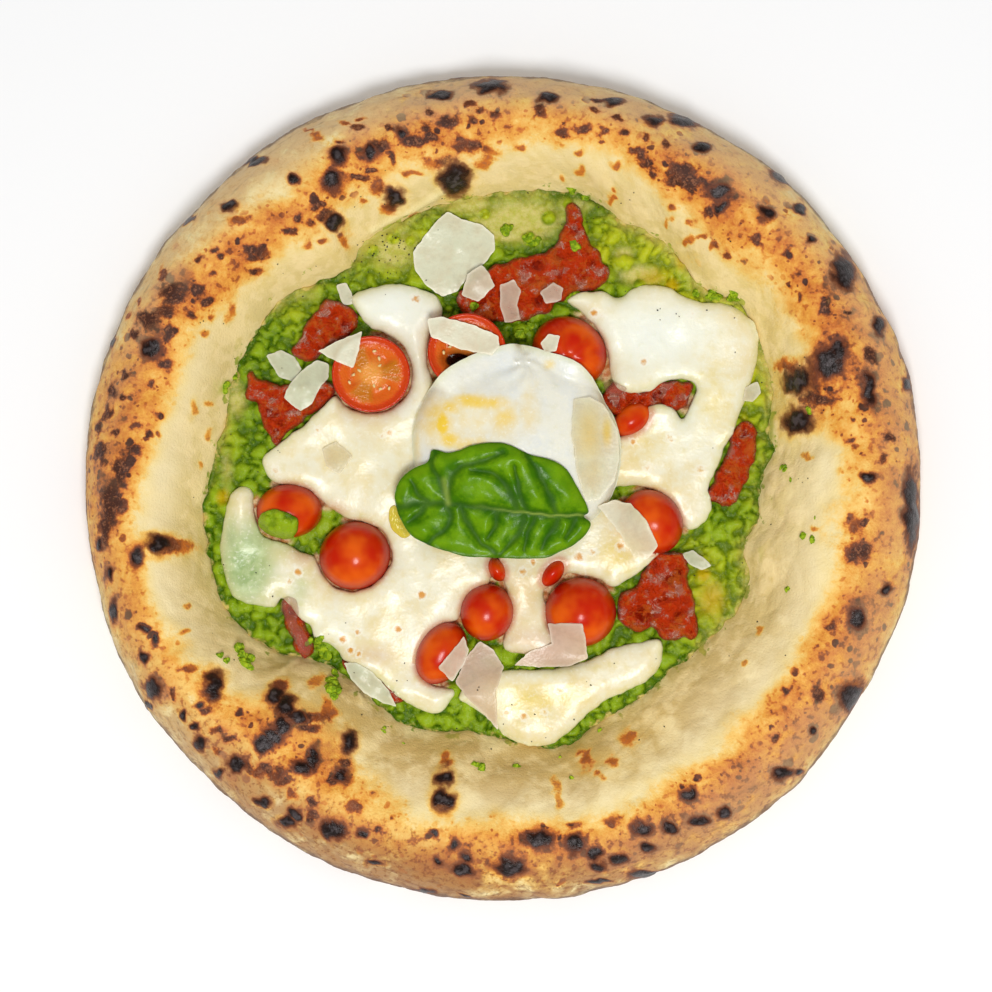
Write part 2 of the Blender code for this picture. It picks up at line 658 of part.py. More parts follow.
def make_tomato(name, ground, material, grow=0.0, base=None):
    """A cherry tomato half as a reshaped sphere: domed with its skin up, or flat with its cut
    face up. grow gives a slightly larger one, which carves its neighbours clear of it."""
    px, py, half_length, half_width, turn, height = TOMATOES_PX[name]
    x, y, a, b, cos, sin = tomato_frame(px, py, half_length, half_width, turn)
    small = half_width < 18
    bm = bmesh.new()
    bmesh.ops.create_uvsphere(bm, u_segments=10 if small else 14, v_segments=6, radius=1.0)
    if base is None:
        base = ground.highest(x, y, max(a, b) * 1.02) + GAP
    for vert in bm.verts:
        flat = math.hypot(vert.co.x, vert.co.y)
        up = vert.co.z
        if name in CUT_SIDE_UP:
            spread = min(1.0, flat * 1.25)
            up = 0.93 + 0.07 * up if up > 0.3 else 0.5 + up
            up = max(up, 0.0)
        else:
            spread = flat if up > -0.1 else flat * 0.97
            up = max(up, 0.0) * 0.95 + 0.05 if up > -0.1 else 0.0
        shrink = spread / flat if flat > 1e-6 else 1.0
        along = vert.co.x * shrink * (a + grow)
        side = vert.co.y * shrink * (b + grow)
        vert.co.x = x + along * cos - side * sin
        vert.co.y = y + along * sin + side * cos
        vert.co.z = base - (0.006 if grow and up == 0.0 else 0.0) + up * height + (grow if up > 0 else 0)
    made = mesh_of(bm, name)
    if grow:
        cutter = bpy.data.objects.new(name + "_cutter", made)
        CUTTERS.objects.link(cutter)
        cutter.hide_render = True
        cutter.display_type = "WIRE"
        return cutter, base
    return link(name, made, material), base


def make_dried_tomato(name, outline_px, ground, material):
    """A wrinkled flat piece with a raised, crumpled middle."""
    outline = smooth_outline(outline_px, DRIED_STEP)
    inner = hexagonal_grid(outline, DRIED_STEP)
    body = rounded(outline, 0.0014, DRIED_THICKNESS, 0.006)

    def thickness(flat):
        wrinkles = 0.0010 * waves(flat[:, 0], flat[:, 1], 0.013)
        return np.maximum(body(flat) + wrinkles, 0.0012)
    return sheet(name, outline, inner, resting(ground, 1.3 * DRIED_STEP), thickness, material)


def make_cheese(name, outline_px, ground, cutters, material):
    """A melted pool that covers what it lies on and stops at the tomatoes that stand in it."""
    outline = smooth_outline(outline_px, CHEESE_STEP)
    inner = hexagonal_grid(outline, CHEESE_STEP)
    body = rounded(outline, 0.0018, CHEESE_THICKNESS, 0.009)

    def thickness(flat):
        return body(flat) + 0.0005 * waves(flat[:, 0], flat[:, 1], 0.027)
    pool = sheet(name, outline, inner, resting(ground, 1.25 * CHEESE_STEP), thickness, material)
    low = np.min([vert.co[:] for vert in pool.data.vertices], axis=0)
    high = np.max([vert.co[:] for vert in pool.data.vertices], axis=0)
    touching = []
    for cutter in cutters:
        spots = np.array([vert.co[:] for vert in cutter.data.vertices])
        if (spots.max(axis=0) > low).all() and (spots.min(axis=0) < high).all():
            touching.append(cutter)
    carve(pool, touching)
    keep_largest(pool)
    return pool


def keep_largest(item):
    """Drops the scraps that a cut leaves beside the main piece."""
    bm = bmesh.new()
    bm.from_mesh(item.data)
    left = set(bm.verts)
    groups = []
    while left:
        group, edge = set(), [left.pop()]
        while edge:
            vert = edge.pop()
            group.add(vert)
            for other in (link_edge.other_vert(vert) for link_edge in vert.link_edges):
                if other in left:
                    left.discard(other)
                    edge.append(other)
        groups.append(group)
    largest = max(groups, key=len)
    scraps = [vert for group in groups if group is not largest for vert in group]
    bmesh.ops.delete(bm, geom=scraps, context="VERTS")
    bm.to_mesh(item.data)
    bm.free()


def make_clump(ground, material):
    """A dab of the cream that lies on the west tomato."""
    outline = smooth_outline(CLUMP_PX, SHAVING_STEP)
    inner = hexagonal_grid(outline, 0.6 * SHAVING_STEP)

    def thickness(flat):
        return rounded(outline, 0.0010, 0.0030, 0.004)(flat) + 0.0004 * waves(*flat.T, 0.006)
    return sheet("pea_clump", outline, inner, resting(ground, 1.3 * SHAVING_STEP), thickness, material)


def make_burrata(ground, material):
    """A soft ball that has slumped into a low dome."""
    outline = smooth_outline(BURRATA_PX, BURRATA_STEP)
    inner = hexagonal_grid(outline, BURRATA_STEP)
    lower = resting(ground, 1.25 * BURRATA_STEP)
    half = edge_distance(outline.mean(axis=0)[None], outline)[0]

    def thickness(flat):
        share = np.clip(edge_distance(flat, outline) / half, 0, 1)
        dome = 0.0105 + (BURRATA_HEIGHT - 0.0105) * np.sqrt(1 - (1 - share) ** 2)
        dome = dome + 0.0007 * waves(flat[:, 0], flat[:, 1], 0.03)
        return np.maximum(dome - lower(flat), 0.0022)
    return sheet("burrata", outline, inner, lower, thickness, material)


def bridging(ground, reach):
    """The underside of a stiff thin piece: it spans the hollows between what holds it up."""
    rest = resting(ground, reach)

    def lower(flat):
        held = rest(flat)
        near = np.linalg.norm(flat[:, None] - flat[None], axis=2) < 1.5 * reach
        height = held
        for _ in range(BRIDGING_ROUNDS):
            height = np.maximum(held, near @ height / near.sum(axis=1))
        return height
    return lower


def make_shaving(name, outline_px, ground, material):
    """A thin stiff flake of hard cheese."""
    outline = smooth_outline(outline_px, 0.001)
    step = SHAVING_STEP * min(1.0, math.sqrt(len(outline) / 60))
    outline = smooth_outline(outline_px, step)
    inner = hexagonal_grid(outline, step)
    lower = bridging(ground, 1.25 * step)
    return sheet(name, outline, inner, lower, lambda flat: np.full(len(flat), SHAVING_THICKNESS), material)


def make_leaf(ground, material):
    """The basil leaf: a thin sheet creased along its midrib and puffed up between its veins."""
    outline = smooth_outline(LEAF_PX, LEAF_STEP)
    inner = hexagonal_grid(outline, LEAF_STEP)
    tip, stalk = np.array(at(398, 500)), np.array(at(585, 516))
    along = (stalk - tip) / np.linalg.norm(stalk - tip)
    across = np.array([-along[1], along[0]])
    rest = bridging(ground, 1.25 * LEAF_STEP)

    def lower(flat):
        side = np.abs((flat - tip) @ across)
        puffed = 0.0016 * np.clip(side / 0.006, 0, 1)
        veins = 0.0005 * np.sin(((flat - tip) @ along - 0.6 * side) * 2 * math.pi / 0.013)
        return rest(flat) + puffed + np.clip(side / 0.004, 0, 1) * (veins + 0.0005)
    return sheet(
        "basil_leaf", outline, inner, lower, lambda flat: np.full(len(flat), LEAF_THICKNESS), material
    )


def build():
    materials = make_materials()
    ground = Ground()
    ground.add(make_crust(materials["crust"]))
    ground.add(make_cream(ground, materials["cream"]))
    for name, outline in DRIED_PX.items():
        if name != "dried_tomato_middle":
            ground.add(make_dried_tomato(name, outline, ground, materials["dried_tomato"]))
    tomatoes, cutters = [], []
    for name in TOMATOES_PX:
        tomato, base = make_tomato(name, ground, materials["tomato"])
        cutters.append(make_tomato(name, ground, None, grow=0.0004, base=base)[0])
        tomatoes.append(tomato)
    middle = make_dried_tomato(
        "dried_tomato_middle", DRIED_PX["dried_tomato_middle"], ground, materials["dried_tomato"]
    )
    carve(middle, cutters)
    keep_largest(middle)
    ground.add(middle)
    for name, outline in CHEESE_PX.items():
        ground.add(make_cheese(name, outline, ground, cutters, materials["cheese"]))
    for tomato in tomatoes:
        ground.add(tomato)
    for cutter in cutters:
        bpy.data.objects.remove(cutter)
    ground.add(make_burrata(ground, materials["burrata"]))
    ground.add(make_clump(ground, materials["cream"]))
    for name, outline in SHAVINGS_PX.items():
        ground.add(make_shaving(name, outline, ground, materials["shaving"]))
    make_leaf(ground, materials["leaf"])


clear_scene()
PARTS = bpy.data.collections.new("pizza")
FUSED = bpy.data.collections.new("fused")
CUTTERS = bpy.data.collections.new("cutters")
for collection in (PARTS, FUSED, CUTTERS):
    bpy.context.scene.collection.children.link(collection)
ALL_ROUND = np.linspace(0, 2 * math.pi, 360, endpoint=False)
MEAN_FOOT = float(np.mean([foot_radius(angle) for angle in ALL_ROUND]))
MEAN_OUTER = float(np.mean(outer_radius(ALL_ROUND)))
build()
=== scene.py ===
"""The pizza's looks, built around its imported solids: dough with char, pea cream, melted cheese,
burrata, tomatoes, dried tomatoes, shavings, basil, oil and pepper."""

import math

import bmesh
import bpy
import numpy as np
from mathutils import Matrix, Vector
from mathutils.geometry import delaunay_2d_cdt


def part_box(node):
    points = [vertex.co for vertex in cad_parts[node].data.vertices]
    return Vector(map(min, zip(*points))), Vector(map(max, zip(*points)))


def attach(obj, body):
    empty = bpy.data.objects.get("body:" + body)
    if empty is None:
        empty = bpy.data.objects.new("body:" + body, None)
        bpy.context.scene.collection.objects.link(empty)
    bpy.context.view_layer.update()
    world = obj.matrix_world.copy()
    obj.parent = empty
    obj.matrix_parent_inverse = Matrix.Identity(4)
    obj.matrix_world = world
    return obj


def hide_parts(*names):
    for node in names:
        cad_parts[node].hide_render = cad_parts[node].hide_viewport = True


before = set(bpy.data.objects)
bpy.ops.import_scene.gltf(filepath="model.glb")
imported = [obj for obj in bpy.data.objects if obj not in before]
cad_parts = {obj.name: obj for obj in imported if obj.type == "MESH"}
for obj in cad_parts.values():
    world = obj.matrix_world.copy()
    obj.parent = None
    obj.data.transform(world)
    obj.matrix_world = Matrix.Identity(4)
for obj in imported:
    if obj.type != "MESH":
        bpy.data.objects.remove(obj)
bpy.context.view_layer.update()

# Driving dimensions, in metres, as in the solids
PIZZA_DIAMETER = 0.310
CREST_HEIGHT = 0.0305
FLOOR_THICKNESS = 0.0045
CREAM_THICKNESS = 0.0022
CHEESE_THICKNESS = 0.0042
BURRATA_HEIGHT = 0.0255
DRIED_THICKNESS = 0.0038
SHAVING_THICKNESS = 0.0009
LEAF_THICKNESS = 0.0008
CELL = 0.0005
HALF_FIELD = 0.119
RIM_SLICES = 940
RIM_STATIONS = 88
SEED = 7
FILM_HEIGHT = 0.0011
PEPPER_GRAINS = 170
PEPPER_HEAP = 46
BURRATA_HALF = 0.0385
TOMATO_PLANE = 0.015
LEAF_PLANE = 0.025

# The picture that the outlines are read from
PICTURE_DIAMETER_PX = 832.0
PIZZA_CENTRE_PX = (503.0, 488.5)
PIXEL = PIZZA_DIAMETER / PICTURE_DIAMETER_PX
PICTURE_DISTANCE = 1.2
PICTURE_PLANE = 0.010
PICTURE_SIZE_PX = 992

# The rim's cross-section: share of its width from the foot, share of its height
RIM_TOP = [
    (0.00, 0.00), (0.06, 0.17), (0.14, 0.38), (0.25, 0.63), (0.38, 0.84), (0.50, 0.955),
    (0.61, 1.00), (0.72, 0.965), (0.82, 0.86), (0.91, 0.68), (0.97, 0.47), (1.00, 0.27),
]

# The rim's widest line, every 15 degrees counterclockwise from the right, in pixels
RIM_RADII_PX = [
    417, 420, 417, 417, 412, 412, 412, 412, 415, 414, 417, 417,
    417, 417, 418, 412, 413, 412, 412, 412, 414, 416, 413, 418,
]
# The rim's foot
FOOT_PX = [
    (758, 500), (757, 522), (745, 540), (741, 552), (748, 570), (746, 592), (735, 612),
    (715, 632), (695, 652), (672, 668), (650, 688), (625, 706), (598, 722), (575, 741),
    (555, 748), (530, 742), (500, 738), (470, 729), (435, 731), (405, 724), (382, 707),
    (362, 687), (335, 665), (305, 655), (280, 655), (258, 640), (236, 622), (222, 598),
    (213, 570), (207, 535), (204, 505), (211, 478), (218, 450), (225, 425), (229, 400),
    (236, 375), (246, 352), (262, 325), (278, 303), (300, 290), (330, 279), (352, 272),
    (360, 248), (382, 231), (412, 217), (445, 204), (480, 197), (520, 192), (560, 192),
    (590, 198), (622, 222), (655, 237), (678, 258), (692, 282), (715, 294), (738, 303),
    (752, 322), (760, 345), (767, 368), (772, 392), (768, 420), (768, 440), (774, 450),
    (764, 468), (760, 485),
]

# Air bubbles that swell the rim: place, radius in pixels, rise in metres
BULGES_PX = [
    (800, 374, 40, 0.0035), (752, 556, 22, 0.0028), (768, 488, 26, 0.0022),
    (308, 704, 50, 0.0045), (474, 772, 38, 0.0022), (318, 262, 34, 0.0022),
    (226, 640, 34, 0.0020), (420, 196, 36, 0.0022), (600, 752, 40, 0.0018),
    (175, 560, 42, 0.0020), (700, 240, 44, 0.0015), (660, 700, 34, 0.0016),
]

# Where the floor is nearly bare of cream
BARE_FLOOR_PX = [(470, 214), (520, 205), (556, 212), (548, 238), (512, 248), (478, 240)]

# Melted mozzarella, as closed outlines in pixels
CHEESE_PX = {
    "mozzarella_left": [
        (352, 297), (364, 289), (385, 285), (408, 286), (428, 291), (440, 302), (441, 316),
        (431, 330), (427, 348), (428, 370), (436, 392), (446, 420), (456, 460), (466, 505),
        (480, 536), (490, 552), (493, 572), (488, 584), (477, 590), (465, 601), (458, 618),
        (443, 626), (430, 638), (421, 654), (420, 670), (430, 684), (446, 688), (454, 692),
        (450, 702), (440, 713), (425, 712), (408, 703), (392, 691), (372, 674), (346, 662),
        (338, 652), (326, 643), (314, 641), (311, 626), (302, 620), (291, 607), (281, 599),
        (274, 607), (255, 605), (237, 600), (227, 584), (221, 560), (220, 540), (224, 518),
        (228, 500), (236, 488), (246, 487), (253, 496), (255, 512), (258, 530), (268, 539),
        (284, 543), (300, 552), (312, 557), (319, 567), (328, 582), (345, 591), (362, 590),
        (380, 579), (391, 561), (390, 545), (380, 530), (364, 522), (348, 519), (333, 510),
        (320, 500), (308, 489), (292, 485), (276, 483), (266, 474), (262, 463), (265, 454),
        (276, 446), (288, 436), (302, 427), (318, 412), (334, 396), (345, 406), (360, 412),
        (376, 413), (393, 408), (405, 398), (411, 384), (411, 364), (404, 348), (390, 336),
        (372, 328), (361, 316), (354, 306),
    ],
    "mozzarella_right": [
        (567, 301), (582, 292), (602, 291), (618, 298), (632, 289), (650, 285), (668, 287),
        (684, 296), (704, 303), (724, 304), (742, 312), (754, 322), (759, 340), (758, 358),
        (752, 378), (745, 400), (736, 424), (727, 444), (717, 468), (708, 490), (712, 508),
        (704, 524), (690, 530), (682, 524), (672, 506), (656, 492), (636, 485), (612, 487),
        (596, 480), (588, 462), (590, 444), (606, 440), (622, 436), (636, 419), (652, 405),
        (670, 407), (682, 418), (690, 404), (697, 388), (688, 379), (666, 382), (650, 391),
        (630, 393), (616, 386), (610, 368), (607, 350), (598, 330), (584, 314),
    ],
    "mozzarella_bottom": [
        (458, 697), (476, 680), (500, 672), (530, 670), (560, 668), (590, 660), (612, 649),
        (638, 643), (657, 640), (663, 650), (660, 665), (650, 679), (630, 690), (602, 703),
        (582, 720), (566, 735), (548, 746), (532, 746), (512, 741), (498, 730), (484, 716),
        (470, 706),
    ],
    "mozzarella_middle": [
        (500, 546), (540, 534), (576, 520), (594, 507), (614, 500), (636, 508), (652, 526),
        (661, 546), (650, 561), (634, 576), (615, 587), (600, 580), (582, 575), (566, 574),
        (552, 584), (544, 593), (547, 608), (549, 626), (560, 640), (566, 652), (545, 658),
        (525, 655), (509, 652), (503, 643), (508, 622), (509, 600), (504, 582), (500, 564),
    ],
}
# The burrata, and where its pleats meet
BURRATA_KNOT_PX = (524, 362)
BURRATA_PX = [
    (412, 446), (415, 418), (427, 393), (446, 371), (470, 357), (496, 348), (520, 345),
    (545, 352), (574, 362), (592, 378), (604, 400), (616, 424), (621, 452), (617, 482),
    (604, 508), (582, 528), (550, 540), (512, 544), (474, 538), (442, 520), (420, 490),
]

# Cherry tomatoes: place, half length, half width in pixels, turn in degrees, height in metres
TOMATOES_PX = {
    "tomato_half_left": (371, 374, 39, 38, 0, 0.0085),
    "tomato_half_top": (467, 352, 39, 38, 0, 0.0090),
    "tomato_west": (288, 511, 33, 27, 0, 0.0120),
    "tomato_southwest": (354, 556, 36, 34, 20, 0.0140),
    "tomato_south_a": (441, 654, 33, 24, 62, 0.0120),
    "tomato_south_b": (487, 613, 29, 27, 80, 0.0120),
    "tomato_southeast": (581, 613, 36, 35, 0, 0.0140),
    "tomato_east": (652, 522, 34, 30, -50, 0.0120),
    "tomato_north": (570, 351, 39, 34, -35, 0.0125),
    "tomato_middle_right": (633, 419, 22, 15, 35, 0.0080),
    "tomato_sliver_a": (497, 570, 13, 9, -60, 0.0065),
    "tomato_sliver_b": (553, 573, 17, 10, 50, 0.0068),
}
CUT_SIDE_UP = ("tomato_half_left", "tomato_half_top")

# Dried tomatoes, as closed outlines in pixels
DRIED_PX = {
    "dried_tomato_north": [
        (456, 302), (468, 286), (484, 272), (506, 262), (536, 254), (556, 243), (563, 224),
        (570, 204), (580, 208), (588, 232), (599, 254), (609, 272), (602, 286), (580, 292),
        (562, 301), (546, 313), (520, 321), (494, 322), (470, 317),
    ],
    "dried_tomato_northwest": [
        (325, 300), (342, 303), (356, 314), (357, 328), (346, 338), (330, 345), (316, 357),
        (303, 363), (292, 352), (300, 336), (310, 320),
    ],
    "dried_tomato_west": [
        (250, 373), (262, 380), (280, 384), (304, 382), (326, 380), (334, 390), (322, 405),
        (306, 419), (288, 433), (276, 444), (264, 428), (256, 404), (245, 396),
    ],
    "dried_tomato_east": [
        (741, 419), (752, 424), (758, 434), (755, 452), (750, 472), (742, 491), (728, 507),
        (714, 502), (707, 492), (714, 480), (722, 466), (728, 448), (734, 432),
    ],
    "dried_tomato_southeast": [
        (650, 553), (668, 552), (685, 554), (690, 566), (688, 580), (693, 598), (698, 616),
        (697, 636), (680, 640), (663, 638), (651, 628), (634, 631), (621, 622), (617, 604),
        (626, 592), (642, 578),
    ],
    "dried_tomato_southwest": [
        (282, 598), (293, 600), (303, 612), (309, 632), (313, 650), (306, 659), (296, 654),
        (291, 638), (284, 618),
    ],
    "dried_tomato_south": [
        (343, 661), (358, 664), (376, 674), (392, 686), (403, 700), (394, 704), (378, 694),
        (360, 684), (348, 674),
    ],
    "dried_tomato_middle": [
        (600, 402), (608, 388), (624, 380), (640, 390), (664, 383), (690, 380), (694, 390),
        (686, 407), (668, 412), (650, 408), (634, 416), (614, 414),
    ],
}

# Cheese shavings, as closed outlines in pixels
SHAVINGS_PX = {
    "shaving_north": [
        (447, 209), (462, 217), (481, 222), (494, 233), (495, 247), (486, 260), (470, 273),
        (456, 290), (442, 295), (426, 284), (414, 268), (412, 250), (424, 234), (436, 219),
    ],
    "shaving_north_small": [(468, 272), (482, 264), (490, 273), (495, 285), (478, 301), (461, 294)],
    "shaving_strip": [
        (427, 319), (441, 317), (472, 325), (498, 336), (499, 347), (492, 356), (462, 350),
        (431, 337),
    ],
    "shaving_triangle": [(317, 351), (338, 340), (362, 331), (359, 349), (353, 368), (336, 361)],
    "shaving_west_a": [(264, 354), (279, 349), (293, 356), (300, 368), (292, 381), (277, 376)],
    "shaving_west_b": [
        (300, 370), (316, 359), (327, 363), (328, 376), (318, 389), (311, 403), (299, 411),
        (282, 397), (289, 383),
    ],
    "shaving_red_a": [(500, 284), (514, 278), (521, 290), (517, 303), (521, 319), (505, 322), (500, 304)],
    "shaving_red_b": [(540, 291), (554, 281), (564, 287), (561, 299), (546, 303)],
    "shaving_round": [
        (598, 506), (614, 500), (631, 504), (646, 520), (658, 546), (648, 559), (633, 556),
        (620, 534),
    ],
    "shaving_pea": [(683, 554), (695, 551), (706, 559), (714, 567), (703, 571), (690, 564)],
    "shaving_south_a": [
        (548, 624), (582, 622), (586, 640), (588, 659), (570, 667), (540, 668), (514, 666),
        (530, 652), (552, 645),
    ],
    "shaving_south_b": [
        (455, 684), (466, 658), (480, 642), (494, 652), (504, 668), (496, 692), (498, 732),
        (484, 716), (468, 700),
    ],
    "shaving_south_c": [(438, 667), (452, 651), (464, 636), (469, 650), (463, 666), (452, 682)],
    "shaving_southwest": [
        (343, 664), (356, 663), (374, 675), (387, 690), (396, 708), (382, 704), (363, 694),
        (350, 680),
    ],
    "shaving_burrata": [
        (573, 399), (590, 397), (605, 406), (617, 430), (619, 456), (615, 480), (600, 499),
        (585, 502), (576, 470), (571, 430),
    ],
    "shaving_east": [(747, 386), (760, 380), (763, 392), (755, 401), (744, 400)],
    "shaving_melted": [(321, 449), (335, 441), (352, 456), (339, 474), (325, 466)],
    "shaving_shred": [(335, 284), (344, 281), (351, 291), (352, 303), (342, 303), (338, 294)],
    "shaving_tomato": [(540, 343), (549, 334), (560, 336), (556, 351), (545, 353)],
}

# The dab of cream on the left tomato
CLUMP_PX = [
    (258, 522), (264, 513), (277, 509), (291, 513), (299, 520), (297, 534), (285, 539), (268, 534),
]

# The basil leaf
LEAF_PX = [
    (396, 493), (401, 480), (413, 469), (428, 462), (433, 450), (447, 453), (459, 451),
    (472, 446), (492, 443), (508, 445), (530, 455), (550, 460), (566, 470), (577, 488),
    (588, 510), (583, 516), (590, 523), (586, 533), (574, 544), (560, 551), (546, 557),
    (520, 558), (494, 557), (468, 556), (448, 551), (428, 544), (411, 534), (402, 520),
    (397, 506),
]

# Burnt blisters on the rim: place, half width and half height in pixels
CHARS_PX = [
    (455, 180, 14, 13), (490, 87, 16, 8), (462, 74, 12, 3), (440, 95, 12, 5), (401, 134, 6, 6),
    (370, 152, 6, 6), (337, 155, 8, 9), (333, 179, 9, 8), (393, 196, 10, 8), (334, 222, 7, 7),
    (294, 180, 5, 5), (228, 207, 8, 5), (150, 348, 9, 9), (158, 545, 11, 9), (137, 558, 6, 10),
    (153, 689, 9, 9), (214, 687, 9, 14), (149, 706, 4, 4), (144, 656, 4, 6), (276, 696, 8, 9),
    (285, 706, 9, 9), (297, 717, 8, 6), (263, 744, 8, 7), (273, 735, 9, 8), (283, 726, 7, 7),
    (301, 768, 9, 5), (312, 761, 6, 7), (316, 751, 4, 7), (348, 741, 8, 10), (341, 776, 7, 6),
    (201, 742, 5, 7), (236, 764, 9, 9), (220, 771, 5, 4), (194, 727, 5, 4), (198, 704, 4, 4),
    (182, 715, 4, 5), (262, 801, 8, 5), (295, 814, 6, 6), (286, 822, 8, 6), (332, 829, 12, 9),
    (444, 800, 10, 9), (445, 779, 8, 7), (453, 845, 5, 5), (433, 835, 4, 4), (439, 863, 5, 4),
    (466, 858, 6, 5), (463, 869, 10, 5), (375, 863, 7, 3), (362, 833, 5, 4), (422, 891, 10, 3),
    (466, 896, 6, 2), (510, 867, 14, 9), (540, 839, 12, 8), (574, 842, 8, 9), (595, 854, 8, 6),
    (597, 866, 8, 5), (621, 861, 9, 6), (642, 828, 8, 7), (688, 795, 6, 7), (648, 849, 6, 5),
    (697, 820, 10, 5), (724, 813, 7, 5), (645, 875, 14, 5), (599, 881, 12, 2), (669, 828, 7, 5),
    (851, 696, 13, 14), (887, 589, 6, 6), (781, 772, 10, 6), (798, 771, 6, 3), (812, 730, 4, 4),
    (799, 381, 12, 12), (829, 363, 15, 14), (838, 350, 8, 8), (798, 421, 13, 12), (869, 390, 7, 14),
    (867, 477, 5, 5), (912, 511, 9, 37), (906, 383, 4, 7), (877, 328, 6, 9), (843, 271, 12, 17),
    (781, 178, 11, 8), (720, 191, 10, 7), (721, 207, 5, 4), (700, 147, 8, 6), (684, 121, 13, 7),
    (654, 120, 9, 6), (613, 101, 11, 4), (546, 98, 9, 6), (766, 213, 6, 6), (800, 208, 5, 6),
    (811, 240, 5, 5), (115, 611, 4, 10), (109, 575, 3, 7), (100, 545, 4, 4), (142, 653, 4, 5),
    (155, 638, 4, 4), (145, 629, 4, 4), (113, 343, 4, 5), (189, 220, 7, 4), (256, 161, 12, 4),
    (858, 618, 8, 11),
]
# Brown spots that are not burnt through
BROWNS_PX = [
    (434, 161, 12, 7), (491, 153, 9, 6), (449, 121, 12, 6), (473, 121, 7, 5), (495, 115, 7, 5),
    (374, 187, 9, 6), (345, 240, 7, 9), (307, 245, 4, 4), (318, 138, 7, 6), (240, 220, 11, 4),
    (172, 295, 13, 13), (134, 335, 6, 6), (111, 505, 10, 22), (122, 506, 5, 6), (178, 547, 16, 10),
    (199, 465, 3, 6), (192, 408, 4, 8), (187, 606, 4, 4), (126, 374, 5, 4), (126, 395, 5, 4),
    (151, 383, 4, 4), (206, 334, 4, 4), (197, 257, 5, 4), (222, 258, 4, 4), (213, 250, 5, 4),
    (262, 253, 9, 6), (297, 218, 4, 4), (293, 232, 4, 4), (354, 806, 8, 6), (378, 831, 6, 4),
    (394, 816, 3, 3), (447, 761, 7, 8), (312, 803, 6, 5), (586, 759, 8, 10), (613, 762, 7, 6),
    (598, 775, 6, 4), (629, 738, 10, 10), (556, 787, 5, 8), (560, 800, 5, 7), (612, 819, 9, 7),
    (572, 824, 8, 3), (760, 631, 5, 4), (746, 664, 3, 3), (786, 691, 4, 4), (817, 694, 6, 8),
    (775, 739, 6, 4), (832, 625, 7, 5), (855, 524, 10, 9), (857, 551, 16, 10), (816, 529, 5, 4),
    (807, 456, 6, 3), (883, 459, 6, 6), (889, 437, 6, 6), (852, 441, 4, 4), (872, 356, 6, 6),
    (855, 420, 3, 3), (829, 401, 3, 3), (619, 118, 6, 4), (624, 132, 5, 3), (613, 165, 6, 4),
    (521, 147, 5, 4), (684, 180, 20, 8), (672, 207, 4, 4), (667, 221, 5, 4), (690, 222, 5, 4),
    (713, 245, 4, 4), (690, 240, 7, 4), (755, 238, 4, 7), (788, 250, 4, 4), (801, 296, 3, 4),
    (826, 306, 4, 9), (849, 311, 5, 3), (870, 355, 5, 6), (612, 199, 5, 3), (314, 716, 14, 6),
    (328, 706, 6, 12), (262, 771, 15, 7), (283, 782, 9, 5), (818, 400, 18, 8), (786, 365, 12, 7),
    (122, 468, 8, 14), (106, 530, 6, 14), (150, 320, 12, 10), (612, 192, 4, 3), (582, 127, 9, 5),
    (561, 133, 9, 4), (541, 111, 6, 5), (580, 153, 5, 3), (581, 169, 5, 4), (560, 176, 4, 4),
    (595, 110, 6, 4), (599, 100, 9, 3), (601, 143, 5, 3), (604, 131, 7, 5), (634, 151, 7, 4),
    (641, 156, 5, 4), (644, 164, 4, 4), (652, 174, 5, 5), (666, 143, 5, 5), (681, 170, 16, 9),
    (709, 212, 4, 5), (701, 236, 5, 3), (726, 255, 4, 4), (646, 138, 4, 3), (317, 683, 9, 7),
    (327, 702, 6, 7), (331, 714, 9, 8), (310, 728, 13, 5), (281, 685, 8, 5), (275, 773, 13, 7),
    (247, 765, 6, 4), (229, 739, 6, 4), (216, 729, 6, 4), (189, 669, 8, 5), (184, 632, 4, 3),
    (205, 711, 5, 4), (145, 628, 5, 5), (155, 637, 6, 4), (173, 695, 4, 6), (216, 750, 4, 5),
    (292, 795, 6, 6), (313, 815, 6, 5), (344, 762, 8, 5), (333, 781, 6, 5), (382, 145, 11, 4),
    (413, 142, 9, 5), (390, 128, 5, 4), (394, 158, 4, 9), (424, 128, 6, 6), (430, 138, 6, 5),
    (430, 112, 5, 4), (468, 145, 15, 7), (486, 161, 12, 5), (480, 110, 6, 4), (470, 104, 5, 3),
    (359, 127, 8, 3), (344, 123, 5, 3), (359, 119, 7, 3), (310, 132, 5, 3), (338, 140, 6, 3),
    (385, 207, 8, 7), (323, 243, 4, 3), (311, 222, 5, 4), (323, 215, 5, 4), (319, 205, 5, 4),
    (359, 177, 10, 3), (372, 172, 5, 3), (364, 202, 5, 3), (413, 172, 11, 3), (410, 214, 6, 3),
    (475, 205, 5, 2), (250, 250, 8, 5), (254, 258, 6, 4), (198, 286, 7, 6), (164, 310, 10, 8),
    (172, 333, 5, 7), (208, 300, 6, 4), (212, 274, 5, 4), (259, 272, 6, 4), (230, 313, 4, 7),
    (215, 315, 3, 4), (192, 316, 6, 5), (167, 364, 7, 5), (114, 391, 4, 10), (159, 414, 5, 5),
    (207, 404, 4, 4), (209, 434, 3, 7), (135, 425, 6, 5), (110, 412, 4, 5), (105, 418, 4, 5),
    (98, 428, 4, 7), (117, 434, 4, 4), (135, 450, 8, 5), (101, 453, 7, 12), (159, 435, 3, 4),
    (163, 274, 4, 9), (140, 303, 4, 5), (129, 316, 4, 6),
]
